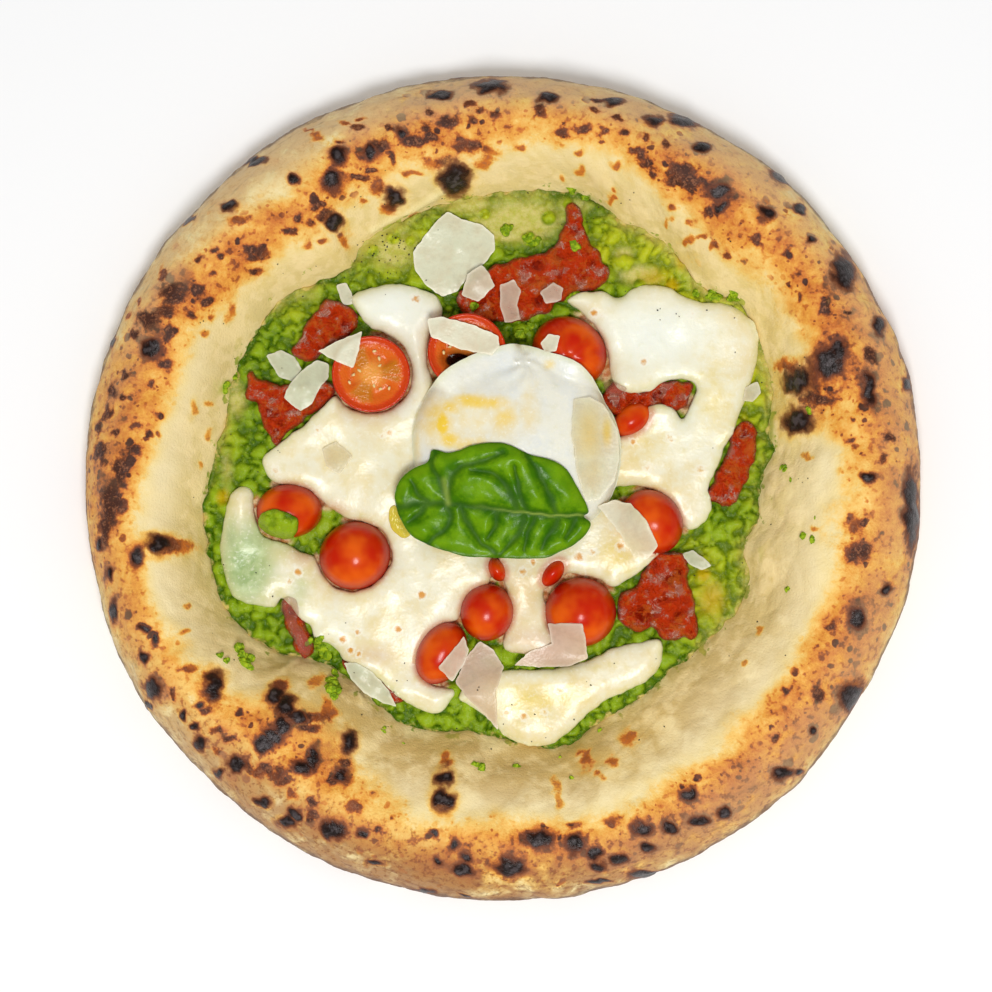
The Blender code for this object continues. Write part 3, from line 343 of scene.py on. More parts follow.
# Golden areas of the rim: place, half width and half height in pixels, strength
TOASTS_PX = [
    (430, 132, 62, 36, 0.65), (480, 115, 50, 34, 0.55), (545, 128, 50, 32, 0.75),
    (610, 140, 50, 30, 0.7), (655, 165, 50, 32, 0.85), (700, 185, 45, 26, 1.0),
    (735, 222, 44, 34, 0.95), (775, 255, 36, 34, 0.85), (372, 160, 50, 32, 0.9),
    (318, 175, 40, 32, 0.75), (268, 218, 55, 30, 0.8), (225, 250, 45, 30, 0.85),
    (180, 290, 34, 34, 1.0), (150, 335, 26, 36, 0.95), (128, 385, 24, 40, 0.9),
    (116, 440, 20, 40, 0.85), (112, 500, 20, 40, 1.0), (124, 560, 22, 36, 0.75),
    (168, 548, 32, 16, 0.75), (130, 620, 20, 36, 0.65), (160, 690, 26, 30, 0.6),
    (212, 740, 34, 26, 0.7), (245, 782, 44, 26, 0.75), (290, 722, 44, 36, 1.0), (318, 752, 40, 32, 1.0),
    (345, 770, 28, 28, 0.8), (310, 820, 50, 24, 0.7), (380, 848, 50, 22, 0.65),
    (443, 786, 16, 40, 0.85), (465, 850, 60, 22, 0.85), (540, 850, 60, 24, 0.9),
    (620, 845, 54, 26, 0.9), (690, 815, 54, 30, 0.85), (745, 780, 54, 34, 0.85),
    (598, 762, 40, 20, 0.9), (790, 740, 44, 42, 0.85), (822, 700, 38, 44, 0.85),
    (850, 650, 34, 46, 0.85), (858, 548, 32, 34, 1.0), (858, 612, 26, 30, 0.95),
    (880, 590, 26, 46, 0.8), (884, 430, 30, 50, 0.95), (893, 485, 20, 55, 0.9),
    (868, 365, 36, 44, 0.85), (806, 385, 38, 36, 0.95), (835, 315, 40, 44, 0.75),
    (800, 290, 36, 34, 0.75), (640, 735, 30, 20, 0.6), (690, 250, 36, 24, 0.6), (330, 235, 36, 18, 0.7),
    (500, 775, 70, 16, 0.30), (430, 760, 50, 16, 0.30), (560, 770, 40, 14, 0.30),
]
# Toasted spots on the melted cheese: place, radius in pixels, strength
CHEESE_SPOTS_PX = [
    (422, 595, 4, 1.0), (398, 629, 4, 0.8), (343, 639, 4, 0.9), (358, 632, 3, 0.7), (351, 650, 3, 0.9),
    (359, 654, 3, 0.7), (298, 572, 4, 0.8), (290, 581, 3, 0.6), (390, 433, 4, 0.6), (383, 436, 3, 0.5),
    (594, 313, 4, 0.8), (644, 362, 4, 0.6), (603, 315, 3, 0.3), (692, 315, 5, 0.3), (416, 299, 5, 0.6),
    (633, 442, 3, 0.8), (670, 438, 5, 0.4), (648, 468, 5, 0.4), (533, 562, 3, 0.9), (523, 572, 4, 0.6),
    (579, 557, 6, 0.6), (592, 552, 4, 0.5), (620, 546, 4, 0.7), (507, 713, 4, 0.6), (524, 716, 4, 0.6),
    (560, 690, 5, 0.4), (545, 712, 4, 0.4), (276, 470, 5, 0.4), (700, 470, 6, 0.4), (318, 430, 4, 0.4),
]
# Yellow stains of oil on the burrata and the cheese: place, half width, half height, strength
OIL_STAINS_PX = [
    (482, 404, 36, 8, 0.60), (438, 420, 24, 28, 0.50), (528, 412, 13, 28, 0.36), (470, 444, 30, 9, 0.45),
    (505, 420, 18, 20, 0.48), (474, 423, 60, 36, 0.30),
    (443, 424, 7, 13, 1.0), (450, 408, 14, 11, 0.55), (470, 401, 24, 7, 0.6), (496, 405, 18, 10, 0.5),
    (505, 414, 7, 12, 0.35), (449, 440, 14, 10, 0.6), (470, 449, 22, 6, 0.4), (432, 412, 9, 16, 0.3),
    (528, 414, 11, 18, 0.25), (549, 366, 7, 6, 0.45), (536, 384, 5, 5, 0.25), (588, 434, 14, 30, 0.6),
    (418, 444, 5, 22, 0.35), (606, 432, 5, 14, 1.0), (586, 430, 8, 16, 0.5), (590, 470, 14, 22, 0.3),
    (337, 456, 18, 16, 0.35), (715, 400, 26, 50, 0.4), (650, 440, 28, 30, 0.35), (530, 700, 50, 26, 0.5),
    (620, 556, 26, 26, 0.45), (340, 590, 60, 40, 0.3), (300, 520, 40, 30, 0.25), (600, 660, 30, 18, 0.2),
    (400, 660, 30, 30, 0.25), (650, 500, 24, 26, 0.4),
]
# Oil and yellow cheese on the cream
CREAM_OIL_PX = [
    (672, 285, 8, 9, 1.0), (655, 277, 20, 11, 0.7), (704, 575, 8, 8, 1.0), (712, 600, 18, 22, 0.75),
    (529, 238, 9, 7, 0.5), (682, 262, 8, 10, 0.6), (222, 497, 8, 10, 0.8), (700, 560, 14, 10, 0.4),
    (745, 420, 6, 20, 0.4),
]
# Where the cream is yellowest
WARM_CREAM_PX = [
    (640, 250, 70, 34, 1.0), (395, 250, 50, 36, 0.9), (500, 215, 80, 30, 0.8), (700, 300, 40, 30, 0.9),
    (700, 590, 34, 50, 0.9), (750, 450, 18, 60, 0.6), (740, 560, 26, 60, 0.5), (228, 440, 20, 60, 0.4),
    (300, 300, 40, 24, 0.5), (760, 380, 20, 40, 0.8),
]
# Higher dabs of cream: place, radius in pixels
CREAM_DABS_PX = [
    (485, 213, 7), (549, 217, 9), (529, 238, 8), (393, 236, 9), (372, 250, 8), (423, 226, 9), (361, 264, 8),
    (600, 224, 8), (618, 236, 11), (626, 262, 10), (655, 247, 12), (668, 254, 9), (690, 276, 8),
    (640, 284, 7), (604, 252, 8), (712, 300, 6), (734, 306, 7), (568, 203, 6), (410, 240, 6),
]
# Cream that smears the rim
SMEARS_PX = [
    (228, 388, 12, 10, 0.9), (238, 352, 8, 14, 0.3), (768, 402, 5, 16, 0.9), (772, 430, 5, 22, 0.8),
    (766, 366, 6, 10, 0.5), (574, 192, 8, 5, 0.8), (590, 198, 8, 4, 0.6), (212, 470, 6, 26, 0.4),
    (548, 204, 26, 5, 0.4), (760, 560, 4, 18, 0.4),
]
# The hollow of the cut tomato at the top
CAVITY_PX = [(458, 361, 15, 9, 1.0)]
# Pools of oil and juice, as closed outlines in pixels
FILMS_PX = {
    "oil_by_leaf": [(390, 508), (396, 506), (400, 517), (406, 527), (411, 534), (404, 538), (394, 531),
                    (389, 520)],
    "gel_southwest": [(281, 602), (288, 597), (297, 600), (299, 612), (297, 622), (304, 632), (311, 643),
                      (309, 655), (301, 652), (294, 638), (286, 620), (280, 611)],
    "gel_centre": [(604, 384), (611, 381), (620, 384), (627, 389), (620, 394), (608, 394)],
}
# Crumbs of cream on the rim: place, radius in pixels
GREEN_CRUMBS_PX = [
    (238, 648, 5), (243, 657, 5), (246, 664, 6), (221, 654, 3), (226, 660, 3), (334, 688, 6), (334, 694, 5),
    (332, 684, 6), (331, 691, 6), (335, 676, 4), (480, 767, 4), (476, 765, 3), (383, 732, 2), (384, 729, 2),
    (518, 766, 3), (572, 778, 2), (803, 536, 3), (812, 542, 3), (816, 520, 2), (786, 470, 3), (781, 466, 2),
    (790, 480, 2), (745, 540, 2), (809, 410, 3), (572, 190, 4), (561, 196, 3), (586, 196, 4), (405, 745, 2),
    (560, 758, 2), (226, 386, 5), (234, 392, 5), (236, 377, 3), (600, 730, 2), (788, 590, 3),
]
# Light: the lamp's name, place, size and power
WORLD_STRENGTH = 0.50
LAMPS = [("overhead", (0.05, -0.43, 1.33), 0.45, 11.4)]
# Each shaving's pink tint, green below zero, and how much it hides
SHAVING_LOOKS = {
    "shaving_north": (-0.15, 0.82), "shaving_north_small": (0.35, 0.62), "shaving_strip": (0.15, 0.85),
    "shaving_triangle": (0.1, 0.8), "shaving_west_a": (-0.3, 0.6), "shaving_west_b": (-0.3, 0.7),
    "shaving_red_a": (0.7, 0.42), "shaving_red_b": (0.7, 0.38), "shaving_round": (0.3, 0.72),
    "shaving_pea": (-0.3, 0.5), "shaving_south_a": (0.95, 0.66), "shaving_south_b": (0.7, 0.52),
    "shaving_south_c": (0.6, 0.5), "shaving_southwest": (-0.3, 0.66), "shaving_burrata": (0.0, 0.42),
    "shaving_east": (0.2, 0.5), "shaving_melted": (0.2, 0.4), "shaving_shred": (0.0, 0.6),
    "shaving_tomato": (0.1, 0.7),
}
# The toasted belt of the rim every 15 degrees counterclockwise from the right: where across the
# rim it starts and ends, and how strong it is
BELT = [
    (0.48, 1.05, 0.75), (0.25, 1.05, 0.95), (0.30, 1.02, 0.80), (0.32, 0.90, 0.90), (0.30, 0.95, 0.90),
    (0.42, 0.96, 0.72), (0.32, 0.98, 0.82), (0.32, 0.90, 0.82), (0.30, 0.62, 0.85), (0.28, 0.58, 0.90),
    (0.38, 0.78, 0.95), (0.45, 0.95, 0.90), (0.50, 1.05, 1.00), (0.50, 0.98, 0.80), (0.45, 0.80, 0.75),
    (0.35, 0.72, 0.75), (0.28, 0.70, 0.85), (0.50, 0.86, 0.72), (0.46, 0.92, 0.85), (0.46, 0.92, 0.85),
    (0.46, 0.98, 0.90), (0.48, 0.92, 0.92), (0.50, 0.92, 0.95), (0.50, 0.98, 0.90),
]
# Places read from the frame
CRUST_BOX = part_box("crust")
CRUST_HALF = (CRUST_BOX[1][0], CRUST_BOX[1][1])
CRUST_TOP = CRUST_BOX[1][2]
LEAF_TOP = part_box("basil_leaf")[1][2] - LEAF_THICKNESS
TOMATO_BASES = {name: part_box(name)[0][2] for name in TOMATOES_PX}
# Wrinkles of the skins: their bearing and depth in metres
TOMATO_WRINKLES = {
    "tomato_north": [(0.6, 0.0012), (2.2, 0.0009), (1.4, 0.0006)],
    "tomato_southeast": [(1.2, 0.0003)],
}
# The leaf's midrib, the cut stub of its stalk and its side veins
MIDRIB_PX = [(398, 507), (420, 504), (449, 504), (480, 507), (518, 512), (550, 515), (586, 516)]
STUB_PX = [(444, 480), (446, 492), (448, 503)]
LEAF_VEINS_PX = [
    [(449, 503), (440, 480), (431, 464), (434, 452)],
    [(448, 494), (452, 476), (463, 466), (484, 461), (503, 452)],
    [(518, 511), (513, 496), (503, 482), (490, 472), (470, 470)],
    [(528, 512), (521, 497), (517, 480), (514, 467)],
    [(556, 513), (547, 490), (537, 472), (527, 454)],
    [(430, 504), (419, 494), (411, 482)],
    [(425, 505), (417, 517), (409, 522)],
    [(446, 506), (452, 520), (436, 536), (424, 546)],
    [(460, 507), (470, 527), (482, 543), (496, 553)],
    [(497, 511), (496, 526), (488, 538)],
    [(524, 514), (520, 532), (508, 546), (500, 554)],
    [(536, 515), (528, 532), (524, 550)],
    [(560, 516), (553, 531), (541, 548)],
    [(576, 517), (572, 528), (566, 538)],
]
# Red juice on the melted cheese
RED_STAINS_PX = [
    (330, 512, 14, 9, 0.9), (306, 552, 14, 12, 0.55), (540, 640, 40, 14, 0.35), (510, 595, 30, 30, 0.2),
    (556, 584, 14, 10, 0.6), (520, 655, 30, 8, 0.5), (466, 640, 10, 16, 0.4), (600, 372, 12, 22, 0.35),
    (612, 400, 20, 8, 0.5), (462, 628, 10, 12, 0.5), (375, 655, 26, 10, 0.25),
]
# Juice on the cream between the cheese and the tomatoes
JUICE_PX = [
    (688, 404, 12, 12, 1.0), (640, 392, 24, 10, 0.8), (606, 372, 10, 14, 0.8), (300, 520, 12, 12, 0.7),
    (506, 575, 14, 10, 0.7), (545, 640, 10, 8, 0.6), (462, 620, 8, 14, 0.6), (330, 505, 10, 8, 0.7),
]
# Where the melted cheese is whitest
COOL_CHEESE_PX = [
    (395, 305, 56, 46, 1.0), (405, 370, 26, 70, 0.8), (655, 335, 74, 50, 1.0), (700, 400, 56, 60, 0.6),
    (470, 700, 60, 30, 0.4), (560, 640, 60, 30, 0.3), (390, 590, 60, 46, 0.3), (420, 650, 50, 50, 0.4),
    (330, 610, 40, 40, 0.5), (345, 440, 50, 40, 0.3),
]
# Lumps of cream that lie on the other toppings
LUMPS_PX = [
    (573, 296, 5), (698, 292, 4), (716, 295, 6), (734, 294, 5), (575, 244, 4), (505, 228, 5), (318, 642, 6),
    (322, 649, 6), (312, 640, 4), (474, 306, 4), (520, 333, 4), (528, 326, 4), (530, 239, 6),
]
# Raised folds of the rim: the line, its half width and its height in metres
FOLDS_PX = [
    ([(372, 230), (396, 217), (420, 206), (444, 190)], 0.0012, 0.0011),
    ([(284, 670), (306, 648), (330, 652), (352, 672), (362, 700)], 0.0010, 0.0007),
]
# Where the cream is thin
THIN_CREAM_PX = [
    (520, 220, 52, 26, 1.0), (470, 205, 30, 12, 0.8), (392, 248, 34, 26, 0.85), (226, 470, 10, 30, 0.6),
    (236, 400, 14, 24, 0.8), (712, 598, 18, 24, 0.6), (640, 275, 26, 14, 0.9), (624, 252, 14, 8, 0.8),
    (305, 296, 26, 8, 0.5), (574, 206, 26, 12, 0.7), (760, 360, 10, 30, 0.5),
]
# Where the left cheese is clear and green shows through
CLEAR_CHEESE_PX = [(246, 565, 30, 44, 1.0), (300, 590, 14, 22, 0.4), (232, 540, 12, 30, 0.7)]


def rgb(red, green, blue):
    """An sRGB colour out of 255 as linear light."""
    shares = [value / 255 for value in (red, green, blue)]
    return tuple(s / 12.92 if s <= 0.04045 else ((s + 0.055) / 1.055) ** 2.4 for s in shares)


def at(px, py, height=PICTURE_PLANE):
    """The place on the pizza of a pixel of the picture, for something at that height."""
    nearer = (PICTURE_DISTANCE - height) / (PICTURE_DISTANCE - PICTURE_PLANE)
    x = (px - PIZZA_CENTRE_PX[0]) * PIXEL * nearer
    y = (PIZZA_CENTRE_PX[1] - py) * PIXEL * nearer
    return x, y


def bearing(x, y):
    return np.arctan2(y, x) % (2 * math.pi)


def smoothstep(low, high, value):
    share = np.clip((value - low) / (high - low), 0, 1)
    return share * share * (3 - 2 * share)


def waves(x, y, size):
    """Smooth uneven relief between about -1 and 1, as in the solids."""
    u, v = np.asarray(x) * 2 * math.pi / size, np.asarray(y) * 2 * math.pi / size
    first = np.sin(u + 1.3 * np.sin(0.7 * v + 0.4))
    second = np.sin(0.8 * v + 1.1 * np.sin(0.9 * u + 2.1) + 1.7)
    third = np.sin(0.6 * (u + v) + 0.9 * np.sin(1.1 * (u - v)) + 0.3)
    return (first + second + third) / 3


def scattered(i, j, seed):
    """A number between 0 and 1 that looks random, for whole numbers i and j."""
    mixed = (i * 374761393 + j * 668265263 + seed * 974634777) & 0xFFFFFFFF
    mixed = ((mixed ^ (mixed >> 13)) * 1274126177) & 0xFFFFFFFF
    return ((mixed ^ (mixed >> 16)) & 0xFFFFFF) / 0xFFFFFF


def noise(x, y, size, seed=0):
    """Smooth noise between about -1 and 1 with features of this size."""
    u, v = x / size, y / size
    i, j = np.floor(u).astype(np.int64), np.floor(v).astype(np.int64)
    fu, fv = u - i, v - j
    su, sv = (f**3 * (f * (f * 6 - 15) + 10) for f in (fu, fv))
    total = 0
    for di in (0, 1):
        for dj in (0, 1):
            turn = scattered(i + di, j + dj, seed) * 2 * math.pi
            slope = np.cos(turn) * (fu - di) + np.sin(turn) * (fv - dj)
            total = total + (su if di else 1 - su) * (sv if dj else 1 - sv) * slope
    return total * 1.5


def rough_noise(x, y, size, octaves, seed=0):
    total = 0
    for octave in range(octaves):
        total = total + noise(x, y, size / 2**octave, seed + octave) / 2**octave
    return total / 1.6


def domes(x, y, size, seed, low=0.35, high=0.62):
    """Round lumps, one in each square of a grid, as a height between 0 and 1."""
    u, v = x / size, y / size
    i, j = np.floor(u).astype(np.int64), np.floor(v).astype(np.int64)
    best = np.zeros_like(u)
    for di in (-1, 0, 1):
        for dj in (-1, 0, 1):
            ci, cj = i + di, j + dj
            px = ci + 0.15 + 0.7 * scattered(ci, cj, seed)
            py = cj + 0.15 + 0.7 * scattered(ci, cj, seed + 1)
            radius = low + (high - low) * scattered(ci, cj, seed + 2)
            away = ((u - px) ** 2 + (v - py) ** 2) / radius**2
            best = np.maximum(best, radius / high * np.sqrt(np.clip(1 - away, 0, 1)))
    return best


# The rim

ROUND = np.linspace(0, 2 * math.pi, 1440, endpoint=False)


def softened(values, degrees):
    """Values by bearing, blurred round the circle."""
    spread = degrees * 4
    reach = np.arange(-int(3 * spread), int(3 * spread) + 1)
    weights = np.exp(-0.5 * (reach / spread) ** 2)
    wrapped = np.concatenate([values[-len(reach):], values, values[:len(reach)]])
    return np.convolve(wrapped, weights / weights.sum(), "same")[len(reach):-len(reach)]


def foot_by_bearing():
    places = np.array([at(px, py) for px, py in FOOT_PX])
    angles = bearing(places[:, 0], places[:, 1])
    order = np.argsort(angles)
    radii = np.hypot(places[:, 0], places[:, 1])[order]
    return softened(np.interp(ROUND, angles[order], radii, period=2 * math.pi), 0.9)


def rim_by_bearing():
    angles = np.linspace(0, 2 * math.pi, len(RIM_RADII_PX), endpoint=False)
    return softened(np.interp(ROUND, angles, RIM_RADII_PX, period=2 * math.pi), 3.0) * PIXEL


FOOT = foot_by_bearing()
RIM = rim_by_bearing()


def foot_radius(angle):
    return np.interp(angle, ROUND, FOOT, period=2 * math.pi)


def outer_radius(angle):
    return np.interp(angle, ROUND, RIM, period=2 * math.pi)


def crest_height(angle):
    return CREST_HEIGHT * (1 + 0.05 * np.sin(2 * angle + 0.6) + 0.04 * np.sin(5 * angle + 2.0))


def bulge_height(x, y):
    rise = np.zeros_like(x)
    for px, py, radius, height in BULGES_PX:
        bx, by = at(px, py, 0.02)
        away = np.hypot(x - bx, y - by) / (radius * PIXEL)
        rise = rise + height * np.clip(1 - away**2, 0, 1) ** 1.5
    return rise


def rim_relief(x, y):
    return 0.0010 * waves(x, y, 0.046) + 0.0006 * waves(y + 0.3, x, 0.023)


def curve_through(knots, count):
    """Points an even step apart on a smooth open curve through the knots."""
    knots = np.array(knots, float)
    padded = np.vstack([2 * knots[0] - knots[1], knots, 2 * knots[-1] - knots[-2]])
    dense = []
    for p0, p1, p2, p3 in zip(padded, padded[1:], padded[2:], padded[3:]):
        for t in np.linspace(0, 1, 24, endpoint=False):
            dense.append(
                0.5 * (2 * p1 + (p2 - p0) * t + (2 * p0 - 5 * p1 + 4 * p2 - p3) * t**2
                       + (3 * p1 - p0 - 3 * p2 + p3) * t**3)
            )
    dense = np.array(dense + [knots[-1]])
    along = np.concatenate([[0], np.cumsum(np.linalg.norm(np.diff(dense * [1.6, 1], axis=0), axis=1))])
    wanted = np.linspace(0, along[-1], count)
    return np.column_stack([np.interp(wanted, along, dense[:, k]) for k in range(knots.shape[1])])


SECTION = curve_through(RIM_TOP, RIM_STATIONS)


def crust_top(x, y):
    """Height of the crust's upper surface inside its widest line."""
    angle = bearing(x, y)
    foot = foot_radius(angle)
    across = (np.hypot(x, y) - foot) / (outer_radius(angle) - foot)
    share = np.interp(across, SECTION[:, 0], SECTION[:, 1])
    height = FLOOR_THICKNESS + share * (crest_height(angle) - FLOOR_THICKNESS)
    raised = np.clip(across / 0.15, 0, 1) * np.clip((1.0 - across) / 0.1, 0, 1)
    return height + raised * (bulge_height(x, y) + rim_relief(x, y))


def on_rim(px, py):
    """The place on the rim's surface that shows at a pixel."""
    height = 0.02
    for _ in range(6):
        x, y = at(px, py, height)
        height = float(crust_top(np.array([x]), np.array([y]))[0])
    return x, y, height


def spots_field(x, y, spots):
    """How deep inside the nearest elliptical spot a place is: 1 in its middle, 0 on its edge."""
    field = np.full(x.shape, -3.0)
    for px, py, half_width, half_height in spots:
        cx, cy, _ = on_rim(px, py)
        away = np.hypot((x - cx) / (half_width * PIXEL), (y - cy) / (half_height * PIXEL))
        field = np.maximum(field, 1 - away)
    return field


def add_mesh(name, verts, faces, material, replaces=None, smooth_angle=None, values=None):
    """A named mesh that rides with the pizza, with values as float attributes by vertex."""
    mesh = bpy.data.meshes.new(name)
    mesh.from_pydata(np.asarray(verts), [], np.asarray(faces) if len(set(map(len, faces))) == 1 else faces)
    mesh.materials.append(material)
    mesh.shade_smooth()
    if smooth_angle:
        mesh.set_sharp_from_angle(angle=math.radians(smooth_angle))
    for key, numbers in (values or {}).items():
        layer = mesh.attributes.new(key, "FLOAT", "POINT")
        layer.data.foreach_set("value", np.asarray(numbers, np.float32))
    mesh.update()
    item = bpy.data.objects.new(name, mesh)
    bpy.context.scene.collection.objects.link(item)
    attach(item, "root")
    if replaces:
        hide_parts(replaces)
    return item


# The crust's rings of points, in shares of the foot's radius on the floor and the base, and down
# the outer side in shares across the rim and of the height of its widest line
FLOOR_RINGS = (0.35, 0.8, 0.95)
BASE_RINGS = (0.7, 0.3)
OUTER_SIDE = ((1.0, 0.82), (0.995, 0.62), (0.985, 0.42), (0.97, 0.24), (0.945, 0.08), (0.90, 0.0))
UNDERSIDE = len(FLOOR_RINGS) + RIM_STATIONS


def crust_rings(angles):
    """Radius, height and share across the rim of each ring, from the middle of the floor over the rim
    and round to the middle of the base."""
    foot, outer, crest = foot_radius(angles), outer_radius(angles), crest_height(angles)
    rings = []
    for share in FLOOR_RINGS:
        rings.append((foot * share, np.full(RIM_SLICES, FLOOR_THICKNESS), -1 + share))
    for u, v in SECTION:
        rings.append((foot + u * (outer - foot), FLOOR_THICKNESS + v * (crest - FLOOR_THICKNESS), u))
    lowest = FLOOR_THICKNESS + SECTION[-1, 1] * (crest - FLOOR_THICKNESS)
    for u, share in OUTER_SIDE:
        rings.append((foot + u * (outer - foot), lowest * share, 1.0))
    for share in BASE_RINGS:
        rings.append((foot * share, np.zeros(RIM_SLICES), 1.0))
    radius, height = (np.array([ring[k] for ring in rings]) for k in (0, 1))
    return radius, height, np.array([np.full(RIM_SLICES, ring[2]) for ring in rings])


def crust_normals(points, angles):
    """Directions out of the crust: upward on its top, outward on its side."""
    normals = np.cross(np.roll(points, -1, 1) - np.roll(points, 1, 1), np.gradient(points, axis=0))
    normals = -normals / np.maximum(np.linalg.norm(normals, axis=2, keepdims=True), 1e-12)
    normals *= np.sign(np.where(np.abs(normals[..., 2:]) > 0.05, normals[..., 2:], 1.0))
    outward = np.stack([np.cos(angles), np.sin(angles), np.zeros(RIM_SLICES)], axis=1)
    wall = normals[UNDERSIDE - 6:UNDERSIDE + 5]
    inward = (wall * outward).sum(axis=2, keepdims=True) < 0
    normals[UNDERSIDE - 6:UNDERSIDE + 5] = np.where(inward, -wall, wall)
    return normals


def crust_folds(x, y):
    """How near each place is to a raised fold of the rim, and how high the fold is there."""
    near, lifted = np.zeros(x.size), np.zeros(x.size)
    places = np.column_stack([x.ravel(), y.ravel()])
    for line, width, height in FOLDS_PX:
        away, _ = line_distance(places, np.array([on_rim(px, py)[:2] for px, py in line]))
        here = np.exp(-((away / width) ** 2))
        near, lifted = np.maximum(near, here), np.maximum(lifted, here * height)
    near, lifted = near.reshape(x.shape), lifted.reshape(x.shape)
    near[UNDERSIDE:], lifted[UNDERSIDE:] = 0, 0
    return near, lifted


def crust_relief(sx, sy, across, char, brown):
    """Height of the baked skin's unevenness, bubbles, creases and blisters."""
    calm = 0.35 + 0.65 * smoothstep(0.30, 0.60, across)
    fine = 0.00030 * calm * rough_noise(sx, sy, 0.0065, 3, SEED) + 0.0006 * noise(sx, sy, 0.019, SEED + 5)
    bubbles = 0.0006 * domes(sx, sy, 0.011, SEED + 9, 0.2, 0.6) ** 1.3
    folds = noise(sx, sy, 0.028, SEED + 12) * np.clip(1.25 - across, 0, 1)
    crease = -0.0002 * np.exp(-((folds / 0.05) ** 2)) * smoothstep(0.02, 0.12, across)
    crease = crease * smoothstep(0.75, 0.45, across)
    burnt = 0.0005 * np.clip(char, 0, 1) + 0.0002 * np.sqrt(np.clip(brown, 0, 1))
    return fine + bubbles + crease + burnt


def crust_toast(x, y, sx, sy, across, angles):
    """How far the rim is browned: its golden areas, its toasted belt and a patchy difference."""
    patchy = 0.10 * rough_noise(sx, sy, 0.020, 3, SEED + 30)
    golden = np.zeros_like(x)
    for px, py, half_width, half_height, strength in TOASTS_PX:
        cx, cy, _ = on_rim(px, py)
        away = ((x - cx) / (half_width * PIXEL)) ** 2 + ((y - cy) / (half_height * PIXEL)) ** 2
        golden = np.maximum(golden, strength * np.exp(-0.9 * away))
    turns = np.linspace(0, 2 * math.pi, len(BELT), endpoint=False)
    start, end, strength = (
        np.interp(angles, turns, column, period=2 * math.pi) for column in np.array(BELT).T
    )
    shift = 0.16 * rough_noise(sx, sy, 0.030, 3, SEED + 31)
    band = strength * smoothstep(start - 0.14, start + 0.16, across + shift)
    band = band * (1 - 0.62 * smoothstep(end - 0.08, end + 0.10, across + 0.5 * shift))
    return 0.62 * band + 0.30 * golden + patchy


def crust_side(radius, height, across, angles):
    """Shares of the outer side's colour, of its grainy lower part and of its streaks."""
    west, east = np.clip(-np.cos(angles), 0, 1), np.clip(np.cos(angles), 0, 1)
    side = smoothstep(0.56, 0.86, across) * (1 - 0.8 * west**6 - 0.6 * east**2)
    arc = np.cumsum(np.hypot(np.gradient(radius, axis=0), np.gradient(height, axis=0)), axis=0)
    low = smoothstep(0.5, 0.7, across) * np.maximum(np.clip(-np.sin(angles), 0, 1) ** 0.7, 0.2)
    low = low * (1 - 0.6 * east)
    turned = angles * 0.155 / 3.0 + 0 * height
    uneven = 0.18 + rough_noise(turned, arc, 0.0019, 3, SEED + 44)
    return side, low, smoothstep(0.60, 0.92, across) * uneven * (0.6 + 0.5 * low)


def ring_mesh(points):
    """Corners and faces of a closed mesh through rings of points, its two ends filled."""
    count = len(points)
    index = np.arange(count * RIM_SLICES).reshape(count, RIM_SLICES)
    nearer, after = index[:-1], index[1:]
    quads = np.stack([nearer, after, np.roll(after, -1, 1), np.roll(nearer, -1, 1)], axis=2).reshape(-1, 4)
    flat = points.reshape(-1, 3)
    verts = np.vstack([flat, [[0, 0, FLOOR_THICKNESS], [0, 0, 0]]])
    faces = [tuple(quad) for quad in quads.tolist()]
    middle, below = len(flat), len(flat) + 1
    for k in range(RIM_SLICES):
        following = (k + 1) % RIM_SLICES
        faces.append((middle, int(index[0, k]), int(index[0, following])))
        faces.append((below, int(index[-1, following]), int(index[-1, k])))
    return verts, faces


